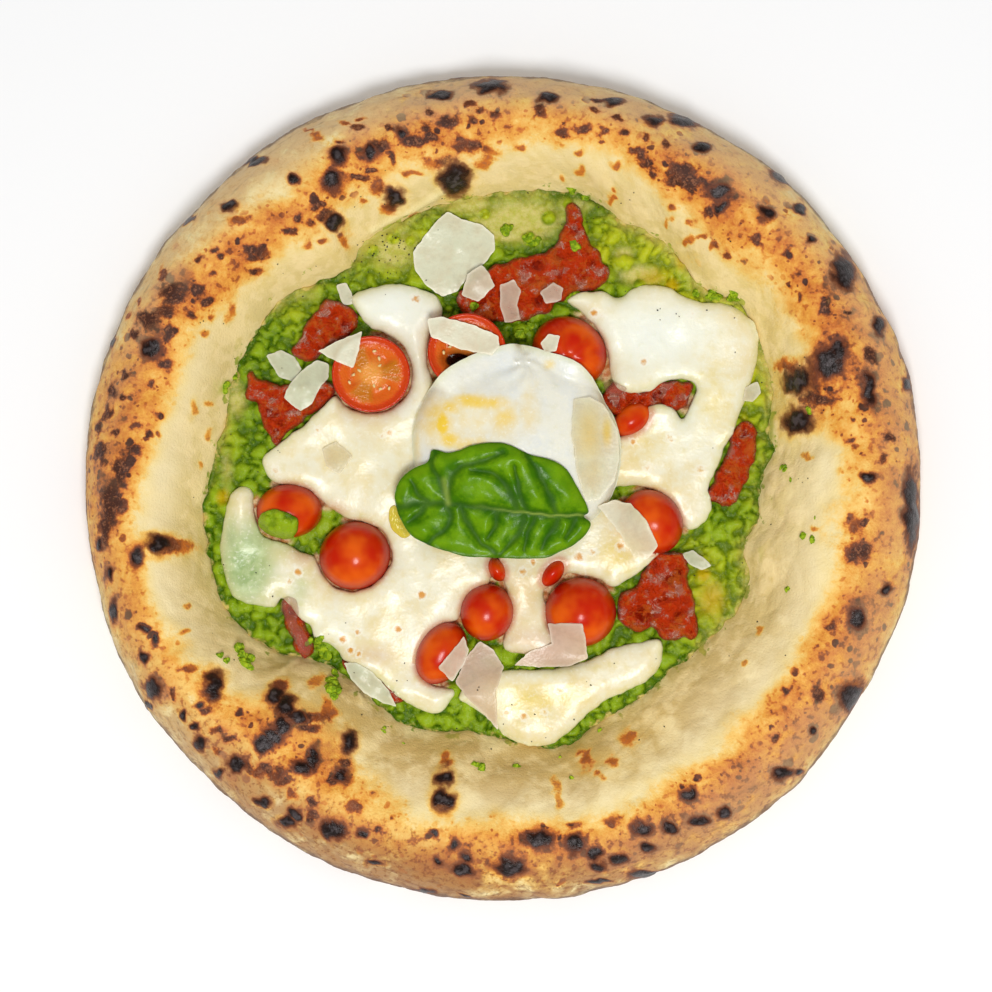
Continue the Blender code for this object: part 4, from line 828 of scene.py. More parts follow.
def build_crust(material):
    """Floor, rim and underside, with the values that their colours are mixed from."""
    angles = np.linspace(0, 2 * math.pi, RIM_SLICES, endpoint=False)
    radius, height, across = crust_rings(angles)
    x, y = radius * np.cos(angles), radius * np.sin(angles)
    raised = np.clip(across / 0.15, 0, 1) * np.clip((1.0 - across) / 0.1, 0, 1)
    raised[UNDERSIDE:] = 0
    height = height + raised * (bulge_height(x, y) + rim_relief(x, y))
    points = np.stack([x, y, height], axis=2)
    below = len(points) - UNDERSIDE
    sx, sy = x + 0.8 * height, y - 0.6 * height
    wx, wy = (part + 0.0017 * noise(sx, sy, 0.0050, SEED + k) for part, k in ((x, 50), (y, 51)))
    char, brown = spots_field(wx, wy, CHARS_PX), spots_field(wx, wy, BROWNS_PX)
    for field in (char, brown):
        field[UNDERSIDE:] -= np.linspace(0.2, 3.0, below)[:, None]
    fold, folded = crust_folds(x, y)
    lift = crust_relief(sx, sy, across, char, brown) + folded + 0.00012 * noise(sx, sy, 0.0016, SEED + 21)
    weight = smoothstep(0.0, 0.06, across)
    weight[UNDERSIDE:] = np.linspace(0.9, 0.0, below)[:, None]
    points = points + crust_normals(points, angles) * (lift * weight)[..., None]
    limit = np.array([half - 0.0002 for half in CRUST_HALF])
    points[..., :2] = np.clip(points[..., :2], -limit, limit)
    points[..., 2] = np.clip(points[..., 2], 0.0, CRUST_TOP - 0.0002)
    toast = crust_toast(x, y, sx, sy, across, angles)
    side, low, streak = crust_side(radius, height, across, angles)
    smear = blob_field(np.column_stack([x.ravel(), y.ravel()]), SMEARS_PX).reshape(x.shape)
    ochre = 0.6 * smoothstep(0.55, 0.25, across) * np.clip(-np.sin(angles), 0, 1)
    ochre[UNDERSIDE:] = 0
    across[UNDERSIDE:] = np.linspace(0.988, 0.90, below)[:, None]
    fields = {
        "char": char, "brown": brown, "toast": toast, "side": side, "across": across, "low": low,
        "streak": streak, "smear": smear, "fold": fold, "ochre": ochre,
    }
    values = {name: np.concatenate([field.ravel(), [0, 0]]) for name, field in fields.items()}
    verts, faces = ring_mesh(points)
    return add_mesh("crust_look", verts, faces, material, "crust", values=values)


# Toppings are worked out on a height field, and each is meshed from it

LINE = np.arange(-HALF_FIELD, HALF_FIELD + CELL / 2, CELL)
FIELD_X, FIELD_Y = np.meshgrid(LINE, LINE)


def smooth_outline(points_px, step, ragged=0.0, seed=0):
    """A closed curve through the points, as places an even step apart, with a ragged edge."""
    knots = np.array([at(px, py) for px, py in points_px])
    closed = curve_through(np.vstack([knots[-2:], knots, knots[:2]]), 24 * len(knots))
    low = np.argmin(np.linalg.norm(closed[:len(closed) // 2] - knots[0], axis=1))
    half = len(closed) // 2
    high = half + np.argmin(np.linalg.norm(closed[half:] - knots[0], axis=1))
    loop = closed[low:high + 1]
    along = np.concatenate([[0], np.cumsum(np.linalg.norm(np.diff(loop, axis=0), axis=1))])
    wanted = np.linspace(0, along[-1], max(8, round(along[-1] / step)), endpoint=False)
    curve = np.column_stack([np.interp(wanted, along, loop[:, k]) for k in (0, 1)])
    if ragged:
        ahead = np.roll(curve, -1, 0) - np.roll(curve, 1, 0)
        normal = np.column_stack([ahead[:, 1], -ahead[:, 0]])
        normal /= np.maximum(np.linalg.norm(normal, axis=1, keepdims=True), 1e-9)
        shift = ragged * rough_noise(curve[:, 0], curve[:, 1], 0.006, 3, seed)
        curve = curve + normal * shift[:, None]
    return curve


def straight_outline(points_px, step, ragged, seed):
    """A closed outline of straight edges with corners hardly rounded, a little ragged."""
    knots = np.array([at(px, py, 0.018) for px, py in points_px])
    loop = []
    for start, end in zip(knots, np.roll(knots, -1, axis=0)):
        count = max(2, round(np.linalg.norm(end - start) / step))
        loop += [start + (end - start) * k / count for k in range(count)]
    loop = np.array(loop)
    for _ in range(2):
        loop = (np.roll(loop, 1, 0) + 2 * loop + np.roll(loop, -1, 0)) / 4
    shift = [rough_noise(loop[:, 0], loop[:, 1], 0.003, 3, seed + k) for k in (0, 7)]
    return loop + ragged * np.column_stack(shift)


def inside(points, outline):
    x, y = points[:, 0], points[:, 1]
    found = np.zeros(len(points), bool)
    for (x0, y0), (x1, y1) in zip(outline, np.roll(outline, -1, axis=0)):
        if y1 != y0:
            found ^= ((y0 > y) != (y1 > y)) & (x < x0 + (y - y0) * (x1 - x0) / (y1 - y0))
    return found


def edge_distance(points, outline):
    nearest = np.full(len(points), 1e9)
    for start, end in zip(outline, np.roll(outline, -1, axis=0)):
        along = end - start
        share = np.clip((points - start) @ along / max(along @ along, 1e-18), 0, 1)
        nearest = np.minimum(nearest, np.linalg.norm(points - start - share[:, None] * along, axis=1))
    return nearest


def sample(field, points):
    """The field's value at places, between its cells."""
    u = np.clip((points[:, 0] + HALF_FIELD) / CELL, 0, len(LINE) - 1.001)
    v = np.clip((points[:, 1] + HALF_FIELD) / CELL, 0, len(LINE) - 1.001)
    i, j = u.astype(int), v.astype(int)
    fu, fv = u - i, v - j
    low = field[j, i] * (1 - fu) + field[j, i + 1] * fu
    high = field[j + 1, i] * (1 - fu) + field[j + 1, i + 1] * fu
    return low * (1 - fv) + high * fv


def widened(field, cells):
    """The highest value within that many cells."""
    best = field.copy()
    for shift in range(1, cells + 1):
        for axis in (0, 1):
            best = np.maximum(best, np.maximum(np.roll(field, shift, axis), np.roll(field, -shift, axis)))
        field = best.copy()
    return best


def blurred(field, cells):
    for _ in range(cells):
        field = (
            field * 2 + np.roll(field, 1, 0) + np.roll(field, -1, 0)
            + np.roll(field, 1, 1) + np.roll(field, -1, 1)
        ) / 6
    return field


def window(outline, margin=0.004):
    """The part of the field round an outline, as slices."""
    low, high = outline.min(axis=0) - margin, outline.max(axis=0) + margin
    i0, j0 = (np.clip(((low + HALF_FIELD) / CELL).astype(int), 0, len(LINE)))
    i1, j1 = (np.clip(((high + HALF_FIELD) / CELL).astype(int) + 2, 0, len(LINE)))
    return slice(j0, j1), slice(i0, i1)


class Heap:
    """The height of what has been laid so far."""

    def __init__(self):
        self.ground = crust_top(FIELD_X, FIELD_Y)
        self.height = self.ground.copy()

    def lay(self, outline, shape, margin=0.004, settle=4):
        """Lays a piece: shape(x, y, edge distance, height below) gives its top. Returns its top and
        its underside, each a height by place."""
        rows, columns = window(outline, margin)
        x, y = FIELD_X[rows, columns], FIELD_Y[rows, columns]
        places = np.column_stack([x.ravel(), y.ravel()])
        within = inside(places, outline).reshape(x.shape)
        away = edge_distance(places, outline).reshape(x.shape) * np.where(within, 1, -1)
        before = self.height
        below = before[rows, columns]
        ground = self.ground[rows, columns]
        soft = ground + blurred(widened(below - ground, 1), settle) if settle else below
        low = -widened(-below, 2) - 0.0002

        def spread(part):
            whole = before.copy()
            whole[rows, columns] = part
            return whole

        fields = [spread(part) for part in (away, soft, below, low)]

        def top(points):
            edge, settled, raw = (sample(field, points) for field in fields[:3])
            found = shape(points[:, 0], points[:, 1], np.maximum(edge, 0), settled)
            return np.maximum(found, raw + 0.0003)

        flat = top(places).reshape(x.shape)
        self.height = self.height.copy()
        self.height[rows, columns] = np.where(within, np.maximum(flat, self.height[rows, columns]),
                                              self.height[rows, columns])
        return top, lambda points: sample(fields[3], points)


def grid_points(outline, step):
    low, high = outline.min(axis=0), outline.max(axis=0)
    rows = np.arange(low[1], high[1], step * math.sqrt(0.75))
    points = []
    for row, y in enumerate(rows):
        xs = np.arange(low[0] + (row % 2) * step / 2, high[0], step)
        points.append(np.column_stack([xs, np.full(len(xs), y)]))
    points = np.vstack(points)
    points = points[inside(points, outline)]
    return points[edge_distance(points, outline) > 0.75 * step]


def signed_area(outline):
    after = np.roll(outline, -1, axis=0)
    return 0.5 * np.sum(outline[:, 0] * after[:, 1] - after[:, 0] * outline[:, 1])


def inset_ring(outline, distance):
    ahead = np.roll(outline, -1, 0) - np.roll(outline, 1, 0)
    normal = np.column_stack([-ahead[:, 1], ahead[:, 0]])
    normal /= np.maximum(np.linalg.norm(normal, axis=1, keepdims=True), 1e-9)
    moved = outline + normal * distance * (1 if signed_area(outline) > 0 else -1)
    keep = inside(moved, outline) & (edge_distance(moved, outline) > 0.8 * distance)
    return moved[keep]


def triangulated(outline, inner):
    places = [Vector(point) for point in np.vstack([outline] + inner)]
    verts, _, faces, _, _, _ = delaunay_2d_cdt(places, [], [list(range(len(outline)))], 1, 1e-7, False)
    flat = np.array([(vert.x, vert.y) for vert in verts])
    faces = np.array([tuple(face) for face in faces if len(face) == 3])
    return flat, faces[inside(flat[faces].mean(axis=1), outline)]


def add_sheet(name, outline, step, top, under, material, values=None, covers=True, rings=(0.22, 0.5),
              thin=False):
    """A closed piece between two heights, each a function of places. One that covers replaces the solid
    of its name. A thin one has both its faces triangulated alike."""
    inner = [grid_points(outline, step)] + [inset_ring(outline, ring * step) for ring in rings]
    flat, faces = triangulated(outline, inner)
    low, low_faces = (flat, faces) if thin else triangulated(outline, [grid_points(outline, 3 * step)])
    count = len(flat)
    high = top(flat)
    deep = np.minimum(under(low), top(low) - 0.0001)
    verts = np.vstack([np.column_stack([flat, high]), np.column_stack([low, deep])])
    a = np.arange(len(outline))
    b = np.roll(a, -1)
    if signed_area(outline) < 0:
        a, b = b, a
    sides = np.vstack([np.column_stack([a + count, b + count, b]), np.column_stack([a + count, b, a])])
    faces = np.vstack([faces, low_faces[:, ::-1] + count, sides])
    places = np.vstack([flat, low])
    found = {key: rule(places) for key, rule in (values or {}).items()}
    replaced = name if covers else None
    return add_mesh(name + "_look", verts, faces.tolist(), material, replaced, 62, found)


def blob_field(points, blobs):
    """The strongest of soft elliptical stains at each place."""
    found = np.zeros(len(points))
    for blob in blobs:
        px, py, half_width = blob[:3]
        half_height, strength = blob[3:] if len(blob) == 5 else (half_width, blob[3])
        cx, cy = at(px, py)
        across = (points[:, 0] - cx) / (half_width * PIXEL)
        along = (points[:, 1] - cy) / (half_height * PIXEL)
        found = np.maximum(found, strength * np.exp(-(across**2 + along**2)))
    return found


def rise(away, width, start=0.0):
    """A rounded edge: start at the outline, 1 at width inside it."""
    share = np.clip(away / width, 0, 1)
    return start + (1 - start) * np.sqrt(1 - (1 - share) ** 2)


def nearness(points, rings, reach):
    """1 inside the nearest of some outlines, fading over reach outside it."""
    nearest = np.full(len(points), 1.0)
    for ring in rings:
        low, high = ring.min(axis=0) - 0.006, ring.max(axis=0) + 0.006
        near = ((points > low) & (points < high)).all(axis=1)
        if near.any():
            found = np.where(inside(points[near], ring), 0, edge_distance(points[near], ring))
            nearest[near] = np.minimum(nearest[near], found)
    return np.exp(-((nearest / reach) ** 2))


def between_toppings(points):
    """How near a place is both to a tomato and to melted cheese."""
    cheeses = [smooth_outline(outline, 0.0015) for outline in CHEESE_PX.values()]
    tomatoes = [tomato_outline(name) for name in TOMATOES_PX]
    return nearness(points, tomatoes, 0.0026) * nearness(points, cheeses, 0.0026)


def build_cream(heap, material):
    angles = np.linspace(0, 2 * math.pi, 700, endpoint=False)
    radii = foot_radius(angles) + 0.0007
    radii += 0.0013 * rough_noise(radii * np.cos(angles), radii * np.sin(angles), 0.006, 3, 3)
    outline = np.column_stack([radii * np.cos(angles), radii * np.sin(angles)])
    bare = smooth_outline(BARE_FLOOR_PX, 0.001)
    everywhere = np.column_stack([FIELD_X.ravel(), FIELD_Y.ravel()])
    thin = inside(everywhere, bare) * smoothstep(0, 0.004, edge_distance(everywhere, bare))
    thin = np.maximum(0.8 * thin, blob_field(everywhere, THIN_CREAM_PX))
    dabs = np.zeros(len(everywhere))
    for px, py, radius in CREAM_DABS_PX:
        cx, cy = at(px, py)
        away = ((everywhere[:, 0] - cx) ** 2 + (everywhere[:, 1] - cy) ** 2) / (radius * PIXEL) ** 2
        dabs = np.maximum(dabs, np.sqrt(np.clip(1 - away, 0, 1)))
    thin = thin.reshape(FIELD_X.shape)
    dabs = dabs.reshape(FIELD_X.shape)
    lumpy = np.maximum(1 - 0.9 * thin, dabs)

    def shape(x, y, away, below):
        places = np.column_stack([x, y])
        much, dab = sample(lumpy, places), sample(dabs, places)
        wx = x + 0.0017 * noise(x, y, 0.0052, 40)
        wy = y + 0.0017 * noise(x, y, 0.0052, 41)
        lumps = np.maximum(domes(wx, wy, 0.0052, 50, 0.2, 0.66), 0.7 * domes(wx, wy, 0.0031, 60, 0.2, 0.62))
        body = 0.0002 + 0.0004 * smoothstep(0, 0.002, away)
        body = body + (CREAM_THICKNESS - 0.0006) * rise(away, 0.004) * (0.4 + 0.6 * much)
        rough = 0.00016 * rough_noise(x, y, 0.0012, 2, 70) * (0.3 + 0.7 * much)
        lifted = much * (0.0025 * lumps - 0.0007) + 0.0007 * dab
        return below + body + lifted * rise(away, 0.002) + rough * smoothstep(0, 0.001, away)

    top, under = heap.lay(outline, shape, settle=0)
    values = {
        "lumpy": lambda p: sample(lumpy, p),
        # peak: the cream's height above the crust, from which its colour takes painted shade and light
        "peak": lambda p: (top(p) - crust_top(p[:, 0], p[:, 1])) / 0.0046,
        "oil": lambda p: blob_field(p, CREAM_OIL_PX),
        "warm": lambda p: blob_field(p, WARM_CREAM_PX),
        "edge": lambda p: np.exp(-((edge_distance(p, outline) / 0.0028) ** 2)),
        "juice": lambda p: np.maximum(blob_field(p, JUICE_PX), between_toppings(p)),
    }
    return add_sheet("pea_cream", outline, 0.00068, top, under, material, values, rings=(0.5,))


def build_clump(heap, material):
    outline, floor = smooth_outline(CLUMP_PX, 0.0005, 0.0008, 4), heap.height

    def shape(x, y, away, below):
        return below + 0.0009 + 0.0022 * rise(away, 0.003) * (0.4 + 0.8 * domes(x, y, 0.0034, 77))

    top, under = heap.lay(outline, shape, settle=2)
    values = {
        "lumpy": lambda p: np.ones(len(p)),
        "peak": lambda p: (top(p) - sample(floor, p)) / 0.0036,
    }
    return add_sheet("pea_clump", outline, 0.0007, top, under, material, values)


def build_dried(name, outline_px, heap, material, seed):
    outline = smooth_outline(outline_px, 0.0005, 0.0018, seed)
    before = heap.height

    def shape(x, y, away, below):
        sx = x + 0.0022 * noise(x, y, 0.009, seed)
        sy = y + 0.0022 * noise(x, y, 0.009, seed + 1)
        ridges = 1 - 2.4 * np.abs(noise(sx, sy, 0.0062, seed + 2))
        small = 1 - 2.4 * np.abs(noise(sx, sy, 0.0028, seed + 5))
        folds = 1 - 2.2 * np.abs(noise(sx, sy, 0.013, seed + 3))
        curl = 0.0010 * np.exp(-((away - 0.0014) / 0.0010) ** 2)
        body = DRIED_THICKNESS * (0.42 + 0.34 * np.clip(folds, -0.2, 1) + 0.34 * np.clip(ridges, -0.3, 1))
        body = body + 0.0004 * np.clip(small, -0.5, 1)
        return below + (body + curl) * rise(away, 0.0014, 0.3) + 0.00012 * noise(x, y, 0.0011, seed + 4)

    top, under = heap.lay(outline, shape, settle=6)
    base = blurred(widened(before, 1), 6)
    values = {
        "ridge": lambda p: (top(p) - sample(base, p)) / DRIED_THICKNESS,
        "edge": lambda p: np.exp(-((edge_distance(p, outline) / 0.0009) ** 2)),
    }
    return add_sheet(name, outline, 0.00055, top, under, material, values)


def tomato_outline(name):
    px, py, half_length, half_width, turn, _ = TOMATOES_PX[name]
    x, y = at(px, py, TOMATO_PLANE)
    cos, sin = math.cos(math.radians(turn)), math.sin(math.radians(turn))
    ring = np.linspace(0, 2 * math.pi, 64, endpoint=False)
    a = half_length * PIXEL * np.cos(ring)
    b = half_width * PIXEL * np.sin(ring)
    return np.column_stack([x + a * cos - b * sin, y + a * sin + b * cos])


def build_cheese(name, outline_px, heap, material, seed, translucent=()):
    outline = smooth_outline(outline_px, 0.0007, 0.0008, seed)
    tomatoes = [tomato_outline(tomato) for tomato in TOMATOES_PX]

    def shape(x, y, away, below):
        wavy = 0.0005 * waves(x, y, 0.027) + 0.0004 * noise(x, y, 0.012, seed)
        small = 0.00006 * rough_noise(x, y, 0.006, 2, seed + 2)
        body = 0.0008 + (CHEESE_THICKNESS - 0.0008) * rise(away, 0.0065)
        meet = np.zeros_like(x)
        for ring in tomatoes:
            low, high = ring.min(axis=0) - 0.003, ring.max(axis=0) + 0.003
            near = (x > low[0]) & (x < high[0]) & (y > low[1]) & (y < high[1])
            if near.any():
                places = np.column_stack([x[near], y[near]])
                gap = edge_distance(places, ring)
                meet[near] = np.maximum(meet[near], 0.0004 * np.exp(-((gap / 0.0020) ** 2)))
        return below + body + (wavy + small) * rise(away, 0.003) + meet

    top, under = heap.lay(outline, shape, margin=0.010, settle=150)
    values = {
        "spot": lambda p: blob_field(p, CHEESE_SPOTS_PX),
        "oil": lambda p: blob_field(p, OIL_STAINS_PX),
        "edge": lambda p: np.exp(-((edge_distance(p, outline) / 0.0022) ** 2)),
        "clear": lambda p: blob_field(p, translucent),
        "red": lambda p: np.maximum(blob_field(p, RED_STAINS_PX), 0.8 * nearness(p, tomatoes, 0.0013)),
        "cool": lambda p: blob_field(p, COOL_CHEESE_PX),
    }
    return add_sheet(name, outline, 0.00085, top, under, material, values)


def build_tomato(name, heap, skin, cut, seed):
    """A cherry tomato half: a domed skin, or a cut face with its seeds."""
    px, py, half_length, half_width, turn, height = TOMATOES_PX[name]
    x, y = at(px, py, TOMATO_PLANE)
    a, b = half_length * PIXEL, half_width * PIXEL
    cos, sin = math.cos(math.radians(turn)), math.sin(math.radians(turn))
    base = TOMATO_BASES[name]
    rings, slices = 40, 72
    verts, values = [], []
    open_side = name in CUT_SIDE_UP
    for r in range(rings + 1):
        t = r / rings
        for s in range(slices):
            turned = 2 * math.pi * s / slices
            if open_side:
                flat, up = cut_section(t)
            else:
                flat, up = math.sin(t * math.pi / 2 * 1.22), math.cos(t * math.pi / 2 * 1.22)
            u, v = flat * math.cos(turned), flat * math.sin(turned)
            along, side = u * a, v * b
            verts.append([x + along * cos - side * sin, y + along * sin + side * cos, base + up * height])
            values.append((t, turned, flat))
    verts, values = np.array(verts), np.array(values)
    wobble = noise(verts[:, 0] + seed, verts[:, 1], 0.011, seed)
    fine = rough_noise(verts[:, 0], verts[:, 1] + 0.1, 0.003, 2, seed + 3)
    if open_side:
        flesh = values[:, 0] < 0.62
        dents = cut_dents(values, seed)
        cavity = blob_field(verts, CAVITY_PX)
        verts[:, 2] += np.where(flesh, dents + 0.00008 * fine - 0.0050 * cavity, 0)
    else:
        verts[:, 2] += 0.0005 * wobble * (1 - values[:, 0])
        for wrinkle in TOMATO_WRINKLES.get(name, ()):
            angle, strength = wrinkle
            across = (verts[:, 0] - x) * math.cos(angle) + (verts[:, 1] - y) * math.sin(angle)
            along = -(verts[:, 0] - x) * math.sin(angle) + (verts[:, 1] - y) * math.cos(angle)
            line = across - 0.002 * np.sin(along * 300 + seed)
            verts[:, 2] -= strength * np.exp(-((line / 0.0012) ** 2)) * np.clip(values[:, 2] * 1.6, 0, 1)
    index = np.arange((rings + 1) * slices).reshape(rings + 1, slices)
    quads = np.stack([index[:-1], index[1:], np.roll(index[1:], -1, 1), np.roll(index[:-1], -1, 1)], axis=2)
    faces = quads.reshape(-1, 4)[slices:].tolist()
    for s in range(slices):
        faces.append([int(index[0, 0]), int(index[1, s]), int(index[1, (s + 1) % slices])])
    verts[index[0]] = verts[index[0]].mean(axis=0)
    verts[:, 2] = np.maximum(verts[:, 2], FLOOR_THICKNESS + 0.0001)
    attributes = {"radius": values[:, 2], "turned": values[:, 1], "cavity": blob_field(verts, CAVITY_PX)}
    item = add_mesh(name + "_look", verts, faces, cut if open_side else skin, name, 50, attributes)
    heap.lay(
        tomato_outline(name),
        lambda fx, fy, away, below: base + height * dome_height(fx, fy, x, y, a, b, cos, sin, open_side),
        settle=0,
    )
    return item


def dome_height(fx, fy, x, y, a, b, cos, sin, open_side):
    along = ((fx - x) * cos + (fy - y) * sin) / a
    side = (-(fx - x) * sin + (fy - y) * cos) / b
    away = np.clip(1 - along**2 - side**2, 0, 1)
    return np.where(away > 0, 1.0, 0) if open_side else np.sqrt(away)


def cut_section(t):
    """Radius and height shares down a cut half: its flat face, its wall's edge, its skin."""
    if t < 0.55:
        return 0.86 * t / 0.55, 0.94
    if t < 0.75:
        share = (t - 0.55) / 0.20
        return 0.86 + 0.14 * math.sin(share * math.pi / 2), 0.94 + 0.06 * math.sin(share * math.pi)
    share = (t - 0.75) / 0.25
    return math.cos(share * 0.5), 0.94 - share * 1.2


def cut_dents(values, seed):
    """The seed chambers, sunk in the cut face round its core."""
    _, turned, flat = values.T
    chamber = np.cos(turned * 3 + seed) * 0.5 + 0.5
    ring = np.exp(-(((flat - 0.52) / 0.2) ** 2))
    return -0.0016 * smoothstep(0.25, 0.7, chamber) * ring - 0.0002


def build_seeds(name, material, heap_top, seed):
    px, py, half_length = TOMATOES_PX[name][:3]
    x, y = at(px, py, TOMATO_PLANE)
    a = half_length * PIXEL
    places = []
    for k in range(9):
        turned = (k // 3) * 2 * math.pi / 3 - seed / 3 + (k % 3 - 1) * 0.33
        flat = 0.45 + 0.14 * ((k * 7) % 3 - 1)
        sx, sy = x + a * flat * math.cos(turned), y + a * flat * math.sin(turned)
        places.append((sx, sy, heap_top, turned + k))
    return scatter(name + "_seeds", places, (0.0016, 0.0010, 0.0006), material, 2)


def scatter(name, places, size, material, detail):
    """One mesh of many small rounded bits, each turned about the vertical."""
    bm = bmesh.new()
    bmesh.ops.create_icosphere(bm, subdivisions=detail, radius=0.5)
    base = np.array([vert.co[:] for vert in bm.verts])
    triangles = np.array([[vert.index for vert in face.verts] for face in bm.faces])
    bm.free()
    verts, faces = [], []
    for k, place in enumerate(places):
        px, py, pz, turned = place[:4]
        factor = place[4] if len(place) > 4 else 1.0
        lumps = 1 + 0.5 * noise(base[:, 0] + 3.1 * k, base[:, 1] + 1.7 * base[:, 2], 0.42, 5)
        bit = base * lumps[:, None] * np.array(size) * factor
        cos, sin = math.cos(turned), math.sin(turned)
        bx, by, bz = bit.T
        faces.append(triangles + len(base) * k)
        verts.append(np.column_stack([bx * cos - by * sin, bx * sin + by * cos, bz]) + [px, py, pz])
    return add_mesh(name, np.vstack(verts), np.vstack(faces).tolist(), material)


def build_burrata(heap, material):
    outline = smooth_outline(BURRATA_PX, 0.0008, 0.0003, 5)
    cover = blurred(widened(heap.height, 4), 14) + 0.0007

    def shape(x, y, away, below):
        share = np.clip(away / BURRATA_HALF, 0, 1)
        dome = 0.0095 + (BURRATA_HEIGHT - 0.0100) * np.sqrt(1 - (1 - share) ** 2) ** 0.85
        fx, fy = at(*BURRATA_KNOT_PX, 0.02)
        turned = np.arctan2(y - fy, x - fx)
        near = np.exp(-(np.hypot(x - fx, y - fy) / 0.011) ** 2)
        pleats = 0.0007 * near * np.sin(turned * 6 + 1.0 + 400 * np.hypot(x - fx, y - fy))
        soft = 0.0007 * waves(x, y, 0.034) + 0.0005 * noise(x, y, 0.016, 12)
        free = dome + soft * rise(away, 0.006) + pleats
        held = sample(cover, np.column_stack([x.ravel(), y.ravel()])).reshape(x.shape)
        lean = np.clip((held - free) / 0.002 + 0.5, 0, 1)
        return free * (1 - lean) + held * lean + 0.0005 * lean * (1 - lean)

    top, under = heap.lay(outline, shape, settle=2)
    values = {
        "spot": lambda p: np.zeros(len(p)),
        "oil": lambda p: blob_field(p, OIL_STAINS_PX),
        "edge": lambda p: np.exp(-((edge_distance(p, outline) / 0.002) ** 2)),
        "clear": lambda p: np.zeros(len(p)),
        "red": lambda p: np.zeros(len(p)),
        "cool": lambda p: np.zeros(len(p)),
    }
    return add_sheet("burrata", outline, 0.0011, top, under, material, values)


def build_shaving(name, outline_px, heap, material, seed):
    outline = straight_outline(outline_px, 0.00045, 0.0004, seed)
    rows, columns = window(outline, 0.002)
    x, y = FIELD_X[rows, columns], FIELD_Y[rows, columns]
    within = inside(np.column_stack([x.ravel(), y.ravel()]), outline).reshape(x.shape)
    held = heap.height[rows, columns] + 0.0002
    bend = bridged(held, within, 160) + 0.0003 * noise(x, y, 0.012, seed)
    bend = np.maximum(bend, np.where(within, held, bend))
    under = np.zeros_like(heap.height)
    under[rows, columns] = bend
    top = under + SHAVING_THICKNESS * 0.7
    laid = heap.height.copy()
    laid[rows, columns] = np.where(within, top[rows, columns], laid[rows, columns])
    heap.height = laid
    tint, body = SHAVING_LOOKS.get(name, (0.1, 0.75))
    values = {
        "edge": lambda p: np.exp(-((edge_distance(p, outline) / 0.0006) ** 2)),
        "oil": lambda p: blob_field(p, OIL_STAINS_PX),
        "tint": lambda p: np.full(len(p), tint),
        "body": lambda p: np.full(len(p), body),
    }
    rough = lambda p: sample(top, p) + 0.00007 * rough_noise(p[:, 0], p[:, 1], 0.0022, 2, seed)
    return add_sheet(name, outline, 0.0008, rough, lambda p: sample(under, p), material, values,
                     thin=True)


def bridged(held, within, rounds):
    """A stiff sheet's underside: level where nothing holds it up."""
    lift = np.full(held.shape, held[within].mean())
    for _ in range(rounds):
        lift = np.maximum(np.where(within, held, -1), blurred(lift, 2))
    return lift


def line_distance(points, line):
    """Distance from each point to an open line, and how far along the line its nearest place is."""
    nearest, along, travelled = np.full(len(points), 1e9), np.zeros(len(points)), 0.0
    for start, end in zip(line, line[1:]):
        step = end - start
        share = np.clip((points - start) @ step / (step @ step), 0, 1)
        away = np.linalg.norm(points - start - share[:, None] * step, axis=1)
        closer = away < nearest
        nearest = np.where(closer, away, nearest)
        along = np.where(closer, travelled + share * np.linalg.norm(step), along)
        travelled += np.linalg.norm(step)
    return nearest, along / travelled


